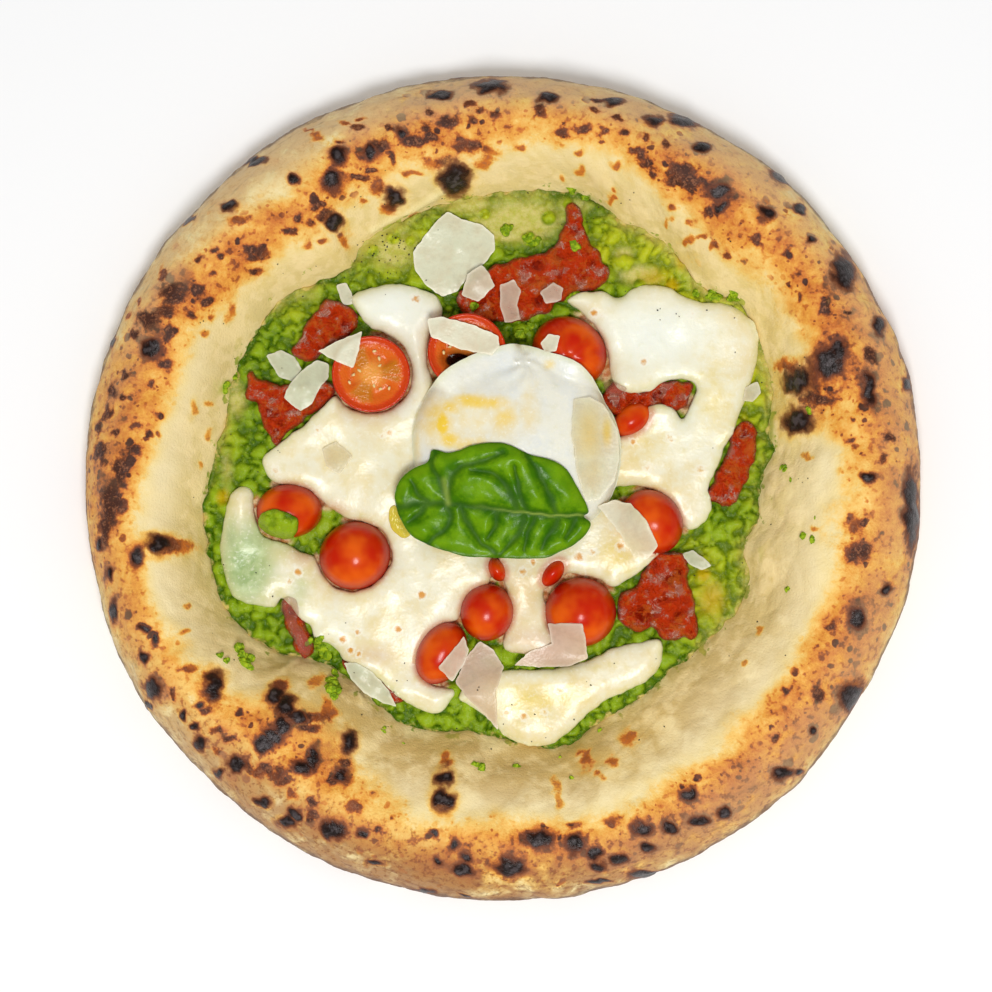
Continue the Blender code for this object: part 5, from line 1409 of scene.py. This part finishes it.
def build_leaf(heap, material):
    outline = smooth_outline(LEAF_PX, 0.0005, 0.0002, 9)
    midrib = curve_through([at(px, py, LEAF_PLANE) for px, py in MIDRIB_PX], 60)
    veins = [curve_through([at(px, py, LEAF_PLANE) for px, py in vein], 14) for vein in LEAF_VEINS_PX]
    stub = curve_through([at(px, py, LEAF_PLANE) for px, py in STUB_PX], 8)

    def creases(points):
        """Depth of the creases at each place, and how far the blade is puffed up between them."""
        wander = np.column_stack([noise(points[:, 0], points[:, 1], 0.005, seed) for seed in (81, 82)])
        moved = points + 0.0006 * wander
        depth, nearest = np.zeros(len(points)), np.full(len(points), 1.0)
        for vein in veins:
            away, along = line_distance(moved, vein)
            fade = 1 - 0.6 * along**2
            depth = np.maximum(depth, fade * np.exp(-((away / 0.00075) ** 2)))
            nearest = np.minimum(nearest, away / np.maximum(fade, 0.5))
        away, _ = line_distance(moved, midrib)
        depth = np.maximum(depth, np.exp(-((away / 0.0008) ** 2)))
        nearest = np.minimum(nearest, away)
        return depth, 1 - np.exp(-((nearest / 0.0031) ** 2)), away

    rows, columns = window(outline, 0.003)
    x, y = FIELD_X[rows, columns], FIELD_Y[rows, columns]
    places = np.column_stack([x.ravel(), y.ravel()])
    mask = inside(places, outline).reshape(x.shape)
    held = heap.height[rows, columns] + 0.0003
    lift = bridged(held, mask, 220)
    depth, puff, _ = (part.reshape(x.shape) for part in creases(places))
    away = edge_distance(places, outline).reshape(x.shape)
    uneven = 0.7 + 0.5 * noise(x, y, 0.010, 90)
    bumps = 0.0018 * puff * uneven * (0.35 + 0.65 * smoothstep(0, 0.005, away))
    ripples = 0.00035 * noise(x, y, 0.0045, 33) + 0.00008 * noise(x, y, 0.0015, 34)
    curled = -0.0010 * np.exp(-((away / 0.0020) ** 2))
    under = np.zeros_like(heap.height)
    under[rows, columns] = np.minimum(lift + 0.0011 + bumps + ripples + curled - 0.0003 * depth, LEAF_TOP)
    top = under + LEAF_THICKNESS * 0.7
    values = {
        "vein": lambda p: creases(p)[0],
        "puff": lambda p: creases(p)[1],
        "rib": lambda p: np.maximum(
            np.exp(-((creases(p)[2] / 0.00038) ** 2)) * smoothstep(-0.015, 0.012, p[:, 0]),
            0.8 * np.exp(-((line_distance(p, stub)[0] / 0.0011) ** 2)),
        ),
        "edge": lambda p: np.exp(-((edge_distance(p, outline) / 0.0009) ** 2)),
    }
    laid = heap.height.copy()
    laid[rows, columns] = np.where(mask, top[rows, columns], laid[rows, columns])
    heap.height = laid
    return add_sheet("basil_leaf", outline, 0.0006, lambda p: sample(top, p), lambda p: sample(under, p),
                     material, values, thin=True)


# Materials

class Graph:
    """A material's node tree, with short names for what is used."""

    def __init__(self, name):
        self.material = bpy.data.materials.new(name)
        self.material.use_nodes = True
        self.tree = self.material.node_tree
        self.shader = self.tree.nodes["Principled BSDF"]
        coordinates = self.tree.nodes.new("ShaderNodeTexCoord")
        self.place = coordinates.outputs["Object"]

    def put(self, socket, value):
        if isinstance(value, bpy.types.NodeSocket):
            self.tree.links.new(value, socket)
        elif isinstance(value, tuple) and len(value) == 3 and socket.type == "RGBA":
            socket.default_value = (*value, 1.0)
        else:
            socket.default_value = value

    def value(self, name):
        node = self.tree.nodes.new("ShaderNodeAttribute")
        node.attribute_name = name
        return node.outputs["Fac"]

    def math(self, operation, a, b=None, c=None):
        node = self.tree.nodes.new("ShaderNodeMath")
        node.operation = operation
        for socket, number in zip(node.inputs, (a, b, c)):
            if number is not None:
                self.put(socket, number)
        return node.outputs[0]

    def add(self, a, b):
        return self.math("ADD", a, b)

    def times(self, a, b):
        return self.math("MULTIPLY", a, b)

    def step(self, low, high, value):
        node = self.tree.nodes.new("ShaderNodeMapRange")
        node.interpolation_type = "SMOOTHSTEP"
        self.put(node.inputs["Value"], value)
        node.inputs["From Min"].default_value = low
        node.inputs["From Max"].default_value = high
        return node.outputs["Result"]

    def noise(self, millimetres, detail=2.0, roughness=0.5, distortion=0.0):
        node = self.tree.nodes.new("ShaderNodeTexNoise")
        self.put(node.inputs["Vector"], self.place)
        node.inputs["Scale"].default_value = 1000 / millimetres
        node.inputs["Detail"].default_value = detail
        node.inputs["Roughness"].default_value = roughness
        node.inputs["Distortion"].default_value = distortion
        return self.times(self.add(node.outputs["Fac"], -0.5), 2.4)

    def cells(self, millimetres):
        """Distance to the nearest scattered point, and a random number for it."""
        uneven = self.tree.nodes.new("ShaderNodeTexNoise")
        self.put(uneven.inputs["Vector"], self.place)
        uneven.inputs["Scale"].default_value = 1000 / (0.45 * millimetres)
        moved = self.tree.nodes.new("ShaderNodeVectorMath")
        moved.operation = "MULTIPLY_ADD"
        self.put(moved.inputs[0], uneven.outputs["Color"])
        moved.inputs[1].default_value = (0.00042 * millimetres,) * 3
        self.put(moved.inputs[2], self.place)
        node = self.tree.nodes.new("ShaderNodeTexVoronoi")
        self.put(node.inputs["Vector"], moved.outputs[0])
        node.inputs["Scale"].default_value = 1000 / millimetres
        split = self.tree.nodes.new("ShaderNodeSeparateColor")
        self.tree.links.new(node.outputs["Color"], split.inputs[0])
        return node.outputs["Distance"], split.outputs[0]

    def mix(self, share, a, b):
        node = self.tree.nodes.new("ShaderNodeMix")
        node.data_type = "RGBA"
        self.put(node.inputs["Factor"], share)
        self.put(node.inputs[6], a)
        self.put(node.inputs[7], b)
        return node.outputs[2]

    def ramp(self, value, stops):
        node = self.tree.nodes.new("ShaderNodeValToRGB")
        self.put(node.inputs["Fac"], value)
        while len(node.color_ramp.elements) < len(stops):
            node.color_ramp.elements.new(0.5)
        for element, (place, colour) in zip(node.color_ramp.elements, stops):
            element.position = place
        for element, (place, colour) in zip(node.color_ramp.elements, stops):
            element.color = (*colour, 1.0)
        return node.outputs["Color"]

    def bump(self, height, millimetres, strength=1.0):
        node = self.tree.nodes.new("ShaderNodeBump")
        self.put(node.inputs["Height"], height)
        node.inputs["Distance"].default_value = millimetres / 1000
        node.inputs["Strength"].default_value = strength
        self.tree.links.new(node.outputs[0], self.shader.inputs["Normal"])

    def finish(self, **sockets):
        for name, value in sockets.items():
            self.put(self.shader.inputs[name.replace("_", " ")], value)
        return self.material


def crust_material():
    g = Graph("baked_dough")
    wide, middle, small = g.noise(17, 2), g.noise(5.5, 3, 0.55, 0.3), g.noise(2.2, 1, 0.4)
    fine, grain = g.noise(0.9, 3, 0.6), g.noise(0.4, 2)
    across, heat = g.value("across"), g.value("toast")
    rough = g.add(g.times(middle, 0.20), g.add(g.times(small, 0.26), g.times(fine, 0.20)))
    spot = g.add(g.value("brown"), rough)
    rough = g.add(g.times(small, 0.16), g.add(g.times(fine, 0.10), g.times(middle, 0.26)))
    burnt = g.add(g.value("char"), rough)
    rough = g.add(g.times(middle, 0.36), g.add(g.times(fine, 0.14), g.times(small, 0.08)))
    mottled = g.add(g.times(wide, 0.30), rough)
    toast = g.add(heat, g.times(mottled, g.step(-0.05, 0.5, heat)))
    toast = g.add(toast, g.times(g.step(-0.8, 0.25, spot), 0.20))
    toast = g.add(toast, g.times(g.step(-0.25, 0.55, spot), 0.54))
    toast = g.add(toast, g.times(g.step(-1.1, -0.05, burnt), 0.46))
    shown = g.step(0.12, 0.55, g.add(heat, g.times(wide, 0.3)))
    for size, reach, strength in ((8.4, 0.26, 0.82), (5.6, 0.25, 0.66), (3.4, 0.21, 0.40)):
        away, pick = g.cells(size)
        dot = g.step(reach, 0.55 * reach, g.add(away, g.add(g.times(fine, 0.04), g.times(small, 0.05))))
        toast = g.add(toast, g.times(g.times(dot, g.step(0.45, 0.75, pick)), g.times(shown, strength)))
    freckle = g.add(small, g.add(g.times(middle, 0.25), g.times(heat, 0.30)))
    toast = g.add(toast, g.times(g.times(g.step(0.40, 0.66, freckle), shown), 0.20))
    colour = g.ramp(g.times(toast, 0.66), [
        (0.0, rgb(248, 230, 180)), (0.12, rgb(248, 224, 158)), (0.26, rgb(250, 204, 108)),
        (0.42, rgb(240, 168, 64)), (0.58, rgb(212, 118, 38)), (0.74, rgb(142, 70, 26)),
        (0.95, rgb(78, 40, 24)),
    ])
    scab = g.times(g.step(0.05, 0.5, spot), g.step(0.0, 0.35, g.add(g.times(fine, 0.8), g.times(small, 0.5))))
    colour = g.mix(g.times(scab, 0.55), colour, rgb(172, 106, 66))
    oily = g.times(g.step(0.46, 0.08, g.add(across, g.times(wide, 0.12))), g.step(0.75, 0.35, heat))
    oiled = g.mix(g.step(-0.3, 0.3, g.add(middle, wide)), rgb(252, 224, 154), rgb(230, 202, 116))
    grains = g.step(0.35, 0.75, g.add(fine, g.times(small, 0.4)))
    oiled = g.mix(g.times(grains, 0.4), oiled, rgb(184, 156, 76))
    pale = g.step(0.40, -0.30, spot)
    colour = g.mix(g.times(g.times(oily, pale), 0.66), colour, oiled)
    colour = g.mix(g.times(g.value("fold"), 0.7), colour, rgb(252, 236, 172))
    green = g.step(0.02, 0.16, g.add(g.noise(6, 3, 0.6), g.times(across, -5.0)))
    greens = g.mix(g.step(-0.3, 0.3, middle), rgb(122, 150, 14), rgb(188, 192, 60))
    colour = g.mix(g.times(green, 0.85), colour, greens)
    smear = g.step(0.1, 0.9, g.add(g.value("smear"), g.times(middle, 0.3)))
    colour = g.mix(g.times(smear, 0.8), colour, rgb(190, 196, 74))
    side = g.times(g.times(g.value("side"), pale), g.step(-1.0, 0.1, g.add(middle, wide)))
    colour = g.mix(g.times(side, 0.8), colour, g.mix(g.value("low"), rgb(236, 202, 150), rgb(158, 100, 62)))
    colour = g.mix(g.times(g.step(0.15, 0.75, g.value("streak")), 0.55), colour, rgb(136, 86, 54))
    grainy = g.times(g.value("low"), g.step(0.05, 0.42, g.add(g.times(small, 0.6), g.times(fine, 0.7))))
    colour = g.mix(g.times(grainy, 0.65), colour, rgb(134, 78, 42))
    ochre = g.times(g.value("ochre"), g.times(pale, g.step(-0.9, 0.4, g.add(middle, wide))))
    colour = g.mix(ochre, colour, rgb(196, 156, 84))
    outer = g.step(0.966, 0.996, g.add(across, g.times(middle, 0.030)))
    colour = g.mix(g.times(outer, 0.75), colour, rgb(92, 60, 42))
    colour = g.mix(g.times(g.step(-0.46, -0.04, burnt), 0.85), colour, rgb(116, 56, 24))
    black = g.step(-0.10, 0.24, burnt)
    # Burnt blisters: brown at their edges, soot black, and a painted grey sheen in their middles standing in
    # for the highlight on the blister's top
    soot_and_sheen = g.mix(g.step(0.3, 1.1, g.add(burnt, g.times(small, 0.8))), rgb(30, 19, 16), rgb(74, 65, 66))
    soot_and_sheen = g.mix(g.step(0.10, 0.52, burnt), rgb(64, 32, 20), soot_and_sheen)
    colour = g.mix(black, colour, soot_and_sheen)
    g.bump(g.add(g.times(grain, 0.35), fine), 0.20, 0.7)
    rough = g.math("MULTIPLY_ADD", black, -0.24, 0.54)
    return g.finish(Base_Color=colour, Roughness=rough, Specular_IOR_Level=0.35)


def cream_material():
    g = Graph("pea_cream")
    wide, middle, fine = g.noise(15, 2), g.noise(3.0, 4, 0.6), g.noise(0.8, 3, 0.6)
    peak = g.add(g.value("peak"), g.add(g.times(middle, 0.22), g.times(wide, 0.15)))
    warm = g.add(g.value("warm"), g.times(wide, 0.35))
    # Painted shade and light by height: darker green low in the hollows between lumps, lighter lime on the
    # lumps' tops; warm makes both yellower
    low = g.mix(g.step(0.0, 0.9, warm), rgb(68, 104, 0), rgb(116, 132, 6))
    high = g.mix(g.step(0.0, 0.9, warm), rgb(146, 176, 22), rgb(192, 200, 30))
    colour = g.mix(g.step(0.22, 0.85, peak), low, high)
    colour = g.mix(g.times(g.step(0.1, 0.7, fine), 0.45), colour, rgb(204, 212, 92))
    bare = g.mix(g.step(-0.4, 0.4, middle), rgb(192, 188, 76), rgb(216, 204, 122))
    colour = g.mix(g.step(0.78, 0.2, g.add(g.value("lumpy"), g.times(fine, 0.15))), colour, bare)
    edge = g.times(g.value("edge"), g.step(0.1, 0.7, g.add(warm, g.times(middle, 0.4))))
    colour = g.mix(g.times(edge, 0.8), colour, rgb(206, 194, 96))
    held_back = g.math("MULTIPLY_ADD", g.value("edge"), -0.7, 0.66)
    dough = g.step(-0.02, -0.40, g.add(g.noise(6, 3, 0.6), held_back))
    colour = g.mix(g.times(dough, 0.9), colour, rgb(222, 198, 112))
    juice = g.step(0.25, 0.7, g.add(g.value("juice"), g.times(middle, 0.2)))
    juices = g.mix(g.step(-0.3, 0.3, middle), rgb(196, 106, 72), rgb(232, 200, 156))
    colour = g.mix(g.times(juice, 0.85), colour, juices)
    oil = g.add(g.value("oil"), g.times(middle, 0.2))
    colour = g.mix(g.times(g.step(0.1, 0.9, oil), 0.85), colour, rgb(200, 168, 8))
    g.bump(g.add(fine, middle), 0.25, 0.6)
    return g.finish(Base_Color=colour, Roughness=0.25, Subsurface_Weight=0.15,
                    Subsurface_Radius=(0.6, 1.0, 0.2), Subsurface_Scale=0.001, Specular_IOR_Level=0.22)


def cheese_material(name, base, milk, oil):
    g = Graph(name)
    wide, middle, fine = g.noise(14, 3), g.noise(4, 3), g.noise(1.2, 3)
    colour = g.mix(g.step(-0.4, 0.6, g.add(wide, g.times(middle, 0.6))), base, milk)
    colour = g.mix(g.value("cool"), colour, rgb(246, 249, 234))
    colour = g.mix(g.times(g.value("edge"), g.add(0.45, g.times(middle, 0.3))), colour, rgb(214, 216, 156))
    colour = g.mix(g.times(g.step(0.03, 0.75, g.add(g.value("oil"), g.times(middle, 0.2))), 0.92),
                   colour, oil)
    colour = g.mix(g.times(g.value("red"), 0.75), colour, rgb(206, 120, 84))
    colour = g.mix(g.times(g.step(0.0, 0.9, g.add(g.value("clear"), g.times(middle, 0.3))), 0.9),
                   colour, g.mix(g.step(-0.4, 0.4, middle), rgb(140, 172, 96), rgb(188, 206, 150)))
    spot = g.add(g.value("spot"), g.times(fine, 0.3))
    halo = g.times(g.step(0.02, 0.2, spot), g.step(0.45, 0.25, spot))
    colour = g.mix(g.times(halo, 0.5), colour, rgb(252, 248, 232))
    colour = g.mix(g.times(g.step(0.22, 0.7, spot), 0.95), colour, rgb(222, 152, 46))
    g.bump(g.add(middle, g.times(fine, 0.4)), 0.12, 0.7)
    return g.finish(Base_Color=colour, Roughness=0.28, Subsurface_Weight=0.28,
                    Subsurface_Radius=(1.0, 0.95, 0.8), Subsurface_Scale=0.002, Specular_IOR_Level=0.45)


def tomato_skin_material():
    g = Graph("tomato_skin")
    wide, fine = g.noise(12, 2), g.noise(1.5, 3)
    colour = g.mix(g.step(-0.4, 0.5, wide), rgb(200, 32, 2), rgb(232, 94, 10))
    # Painted shade: darker red towards the dome's edge, where it turns away and meets what it lies on
    colour = g.mix(g.times(g.step(0.72, 1.0, g.value("radius")), 0.7), colour, rgb(160, 20, 0))
    g.bump(fine, 0.04, 0.5)
    return g.finish(Base_Color=colour, Roughness=0.23, Specular_IOR_Level=0.30, Subsurface_Weight=0.1,
                    Subsurface_Radius=(1.0, 0.2, 0.1), Subsurface_Scale=0.002)


def tomato_cut_material():
    g = Graph("tomato_cut")
    middle, fine = g.noise(3, 3), g.noise(0.9, 3)
    radius = g.add(g.value("radius"), g.times(middle, 0.06))
    chamber = g.math("SINE", g.add(g.times(g.value("turned"), 3.0), 1.2))
    pulp = g.mix(g.step(0.1, 0.6, radius), rgb(236, 160, 70), rgb(226, 106, 30))
    gel = g.times(g.step(-0.1, 0.6, chamber), g.times(g.step(0.2, 0.36, radius), g.step(0.80, 0.66, radius)))
    colour = g.mix(g.times(gel, 0.8), pulp, rgb(196, 122, 24))
    colour = g.mix(g.step(0.74, 0.86, radius), colour, rgb(214, 70, 22))
    colour = g.mix(g.step(0.93, 0.99, g.value("radius")), colour, rgb(186, 40, 8))
    colour = g.mix(g.times(g.step(0.3, 0.9, fine), 0.2), colour, rgb(236, 160, 80))
    # Painted shade of the hollow in the cut half: darker amber round it, nearly black deep in it
    colour = g.mix(g.times(g.step(0.02, 0.4, g.value("cavity")), 0.8), colour, rgb(160, 74, 14))
    colour = g.mix(g.step(0.42, 0.62, g.value("cavity")), colour, rgb(40, 8, 3))
    g.bump(g.add(middle, fine), 0.15, 0.6)
    return g.finish(Base_Color=colour, Roughness=0.20, Specular_IOR_Level=0.35, Subsurface_Weight=0.3,
                    Subsurface_Radius=(1.0, 0.3, 0.1), Subsurface_Scale=0.002)


def dried_material():
    g = Graph("dried_tomato")
    wide, middle, fine = g.noise(6, 2), g.noise(2.6, 4, 0.65, 0.6), g.noise(0.8, 4, 0.6)
    ridge = g.add(g.value("ridge"), g.add(g.times(middle, 0.45), g.times(fine, 0.2)))
    # Painted shade and light by height: deep red low in the creases, brighter red on the ridges
    colour = g.mix(g.step(0.05, 0.70, ridge), rgb(146, 20, 2), rgb(230, 64, 10))
    colour = g.mix(g.times(g.step(-0.1, 0.4, g.add(middle, wide)), 0.75), colour, rgb(232, 112, 34))
    # Pinkish patches of moist film, partly the film's own colour and partly painted sheen; the glints inside
    # them are painted highlights
    moist_film_and_sheen = g.step(0.05, 0.40, g.add(g.noise(5.2, 3), g.times(fine, 0.4)))
    colour = g.mix(g.times(moist_film_and_sheen, 0.68), colour, rgb(212, 140, 118))
    worm = g.math("ABSOLUTE", g.add(g.noise(3.4, 2, 0.5, 0.8), g.times(fine, 0.10)))
    glint = g.times(g.step(0.2, 0.8, moist_film_and_sheen), g.step(0.09, 0.03, worm))
    colour = g.mix(g.times(glint, 0.7), colour, rgb(248, 206, 186))
    colour = g.mix(g.times(g.value("edge"), 0.6), colour, rgb(128, 22, 4))
    g.bump(g.add(middle, g.times(fine, 1.5)), 0.9, 0.9)
    return g.finish(Base_Color=colour, Roughness=0.18, Specular_IOR_Level=0.6,
                    Subsurface_Weight=0.1, Subsurface_Radius=(1.0, 0.2, 0.1), Subsurface_Scale=0.001)


def shaving_material():
    g = Graph("shaving")
    wide, patch, fine = g.noise(7, 3), g.noise(3.4, 3, 0.6), g.noise(1.0, 3)
    colour = g.mix(g.step(-0.4, 0.5, wide), rgb(244, 242, 214), rgb(236, 224, 192))
    colour = g.mix(g.times(g.step(0.0, 0.6, patch), 0.4), colour, rgb(216, 224, 196))
    colour = g.mix(g.times(g.step(0.0, 1.0, g.value("tint")), 0.7), colour, rgb(228, 182, 160))
    colour = g.mix(g.times(g.step(0.0, -0.3, g.value("tint")), 0.5), colour, rgb(214, 224, 186))
    colour = g.mix(g.times(g.value("edge"), 0.45), colour, rgb(252, 246, 224))
    colour = g.mix(g.times(g.value("oil"), 0.85), colour, rgb(244, 216, 104))
    alpha = g.add(g.add(g.value("body"), g.times(g.value("edge"), 0.15)), g.times(patch, 0.16))
    g.bump(g.add(fine, patch), 0.10, 0.6)
    return g.finish(Base_Color=colour, Roughness=0.26, Specular_IOR_Level=0.4, Alpha=alpha)


def leaf_material():
    g = Graph("basil")
    middle, fine = g.noise(6, 3), g.noise(0.7, 3)
    colour = g.mix(g.step(-0.4, 0.5, g.add(middle, g.times(fine, 0.2))), rgb(64, 116, 0), rgb(110, 156, 4))
    # Painted shade and light: darker green in the valleys by the veins, lighter on the puffed parts of the
    # blade, and darkest in the sunk vein creases
    colour = g.mix(g.times(g.step(0.5, 0.0, g.value("puff")), 0.65), colour, rgb(40, 90, 2))
    colour = g.mix(g.times(g.step(0.6, 1.0, g.value("puff")), 0.5), colour, rgb(118, 164, 8))
    colour = g.mix(g.times(g.value("vein"), 0.40), colour, rgb(34, 78, 0))
    colour = g.mix(g.times(g.value("rib"), 0.8), colour, rgb(150, 172, 70))
    colour = g.mix(g.times(g.value("edge"), 0.55), colour, rgb(34, 72, 2))
    g.bump(fine, 0.06, 0.6)
    rough = g.math("MULTIPLY_ADD", g.value("vein"), 0.42, 0.28)
    return g.finish(Base_Color=colour, Roughness=rough, Specular_IOR_Level=0.20, Subsurface_Weight=0.1,
                    Subsurface_Radius=(0.4, 1.0, 0.1), Subsurface_Scale=0.001)


def plain_material(name, colour, roughness):
    return Graph(name).finish(Base_Color=colour, Roughness=roughness)


def crumb_material():
    g = Graph("crumb")
    middle, fine = g.noise(1.6, 3, 0.6), g.noise(0.5, 2)
    colour = g.mix(g.step(-0.25, 0.3, middle), rgb(112, 148, 4), rgb(172, 198, 28))
    g.bump(g.add(fine, middle), 0.3, 0.8)
    return g.finish(Base_Color=colour, Roughness=0.35, Specular_IOR_Level=0.25)


def film_material(name, colour, alpha):
    g = Graph(name)
    g.bump(g.noise(2.2, 3), 0.5, 0.9)
    return g.finish(Base_Color=colour, Roughness=0.10, Specular_IOR_Level=0.6, Alpha=alpha)


def build_film(name, heap, material, thickness, seed):
    """A pool of oil or juice, smooth and clear."""
    outline = smooth_outline(FILMS_PX[name], 0.0005, 0.0004, seed)
    top, under = heap.lay(
        outline, lambda x, y, away, below: below + 0.0003 + thickness * rise(away, 0.0022), settle=12,
    )
    return add_sheet(name, outline, 0.0007, top, under, material, covers=False)


def surface_height(heap, x, y):
    return float(sample(heap.height, np.array([[x, y]]))[0])


def build_specks(heap, pepper, crumb):
    """Grains of pepper on the cream and the rim's inner slope, and crumbs of the cream."""
    rng = np.random.default_rng(SEED)
    grains = []
    for _ in range(PEPPER_GRAINS):
        angle, share = rng.uniform(0, 2 * math.pi), rng.uniform(0.78, 1.25)
        radius = float(foot_radius(angle)) * share
        x, y = radius * math.cos(angle), radius * math.sin(angle)
        if max(abs(x), abs(y)) < HALF_FIELD - 0.001:
            turn, factor = rng.uniform(0, 6), rng.uniform(0.5, 1.2)
            grains.append((x, y, surface_height(heap, x, y) + 0.0001, turn, factor))
    for _ in range(PEPPER_HEAP):
        x, y = at(rng.normal(388, 17), rng.normal(250, 15))
        grains.append((x, y, surface_height(heap, x, y) + 0.0001, rng.uniform(0, 6), rng.uniform(0.6, 1.4)))
    scatter("pepper", grains, (0.0007, 0.0005, 0.0004), pepper, 1)
    crumbs = []
    for px, py, radius in GREEN_CRUMBS_PX:
        x, y, _ = on_rim(px, py)
        for _ in range(1 + radius // 3):
            dx, dy = rng.normal(0, 0.30 * radius * PIXEL, 2)
            spot = crust_top(np.array([x + dx]), np.array([y + dy]))[0]
            turn, factor = rng.uniform(0, 6), 0.62 * radius * rng.uniform(0.7, 1)
            crumbs.append((x + dx, y + dy, float(spot) + 0.0002, turn, factor))
    for px, py, radius in LUMPS_PX:
        x, y = at(px, py, 0.012)
        for _ in range(2 + radius // 2):
            dx, dy = rng.normal(0, 0.4 * radius * PIXEL, 2)
            spot = surface_height(heap, x + dx, y + dy)
            turn, factor = rng.uniform(0, 6), 0.5 * radius * rng.uniform(0.7, 1)
            crumbs.append((x + dx, y + dy, spot + 0.0001, turn, factor))
    scatter("cream_crumbs", crumbs, (0.0018, 0.0011, 0.0005), crumb, 3)


def set_up_light_and_camera():
    scene = bpy.context.scene
    scene.view_settings.view_transform = "Standard"
    scene.view_settings.look = "None"
    world = bpy.data.worlds.new("studio")
    world.use_nodes = True
    world.node_tree.nodes["Background"].inputs["Color"].default_value = (1.0, 1.0, 1.0, 1.0)
    world.node_tree.nodes["Background"].inputs["Strength"].default_value = WORLD_STRENGTH
    world.cycles_visibility.glossy = False
    scene.world = world
    for name, place, size, power in LAMPS:
        light = bpy.data.lights.new(name, "AREA")
        light.shape = "DISK"
        light.size = size
        light.energy = power
        lamp = bpy.data.objects.new(name, light)
        lamp.location = place
        lamp.rotation_euler = (-Vector(place)).to_track_quat("-Z", "Y").to_euler()
        scene.collection.objects.link(lamp)
    floor_mesh = bpy.data.meshes.new("floor")
    floor_mesh.from_pydata([(-3, -3, 0), (3, -3, 0), (3, 3, 0), (-3, 3, 0)], [], [(0, 1, 2, 3)])
    floor_mesh.materials.append(plain_material("floor", (1.0, 1.0, 1.0), 0.9))
    floor = bpy.data.objects.new("floor", floor_mesh)
    floor.location = (0, 0, -0.0002)
    scene.collection.objects.link(floor)
    camera = bpy.data.objects.new("camera", bpy.data.cameras.new("camera"))
    across = PICTURE_SIZE_PX * PIXEL
    offset_x = (PICTURE_SIZE_PX / 2 - PIZZA_CENTRE_PX[0]) * PIXEL
    offset_y = (PIZZA_CENTRE_PX[1] - PICTURE_SIZE_PX / 2) * PIXEL
    camera.location = (0, 0, PICTURE_DISTANCE)
    camera.data.sensor_width = 36
    camera.data.lens = 36 * (PICTURE_DISTANCE - PICTURE_PLANE) / across
    camera.data.shift_x = offset_x / across
    camera.data.shift_y = offset_y / across
    scene.collection.objects.link(camera)
    scene.camera = camera


def build_all():
    heap = Heap()
    crust = crust_material()
    cream = cream_material()
    cheese = cheese_material("mozzarella", rgb(243, 236, 206), rgb(238, 220, 166), rgb(238, 212, 108))
    milk = cheese_material("burrata", rgb(240, 238, 222), rgb(230, 232, 226), rgb(250, 208, 0))
    dried, skin, cut = dried_material(), tomato_skin_material(), tomato_cut_material()
    shaving, leaf = shaving_material(), leaf_material()
    build_crust(crust)
    build_cream(heap, cream)
    for k, (name, outline) in enumerate(DRIED_PX.items()):
        build_dried(name, outline, heap, dried, 100 + 7 * k)
    for k, (name, outline) in enumerate(CHEESE_PX.items()):
        clear = CLEAR_CHEESE_PX if name == "mozzarella_left" else ()
        build_cheese(name, outline, heap, cheese, 200 + 9 * k, clear)
    seed_skin = plain_material("tomato_seed", rgb(236, 206, 140), 0.25)
    for k, name in enumerate(TOMATOES_PX):
        build_tomato(name, heap, skin, cut, 3 + k)
        if name in CUT_SIDE_UP:
            build_seeds(name, seed_skin, TOMATO_BASES[name] + 0.93 * TOMATOES_PX[name][5] - 0.0006, 3 + k)
    oil = film_material("oil", rgb(240, 216, 10), 0.70)
    juice = film_material("juice", rgb(186, 120, 104), 0.34)
    for k, name in enumerate(FILMS_PX):
        look, slot = (oil, "pea_cream") if name.startswith("oil") else (juice, "mozzarella")
        build_film(name, heap, look, FILM_HEIGHT, 500 + k)
    build_burrata(heap, milk)
    build_clump(heap, cream)
    for k, (name, outline) in enumerate(SHAVINGS_PX.items()):
        build_shaving(name, outline, heap, shaving, 300 + 5 * k)
    build_leaf(heap, leaf)
    build_specks(heap, plain_material("pepper", rgb(40, 34, 26), 0.6), crumb_material())
    set_up_light_and_camera()


build_all()
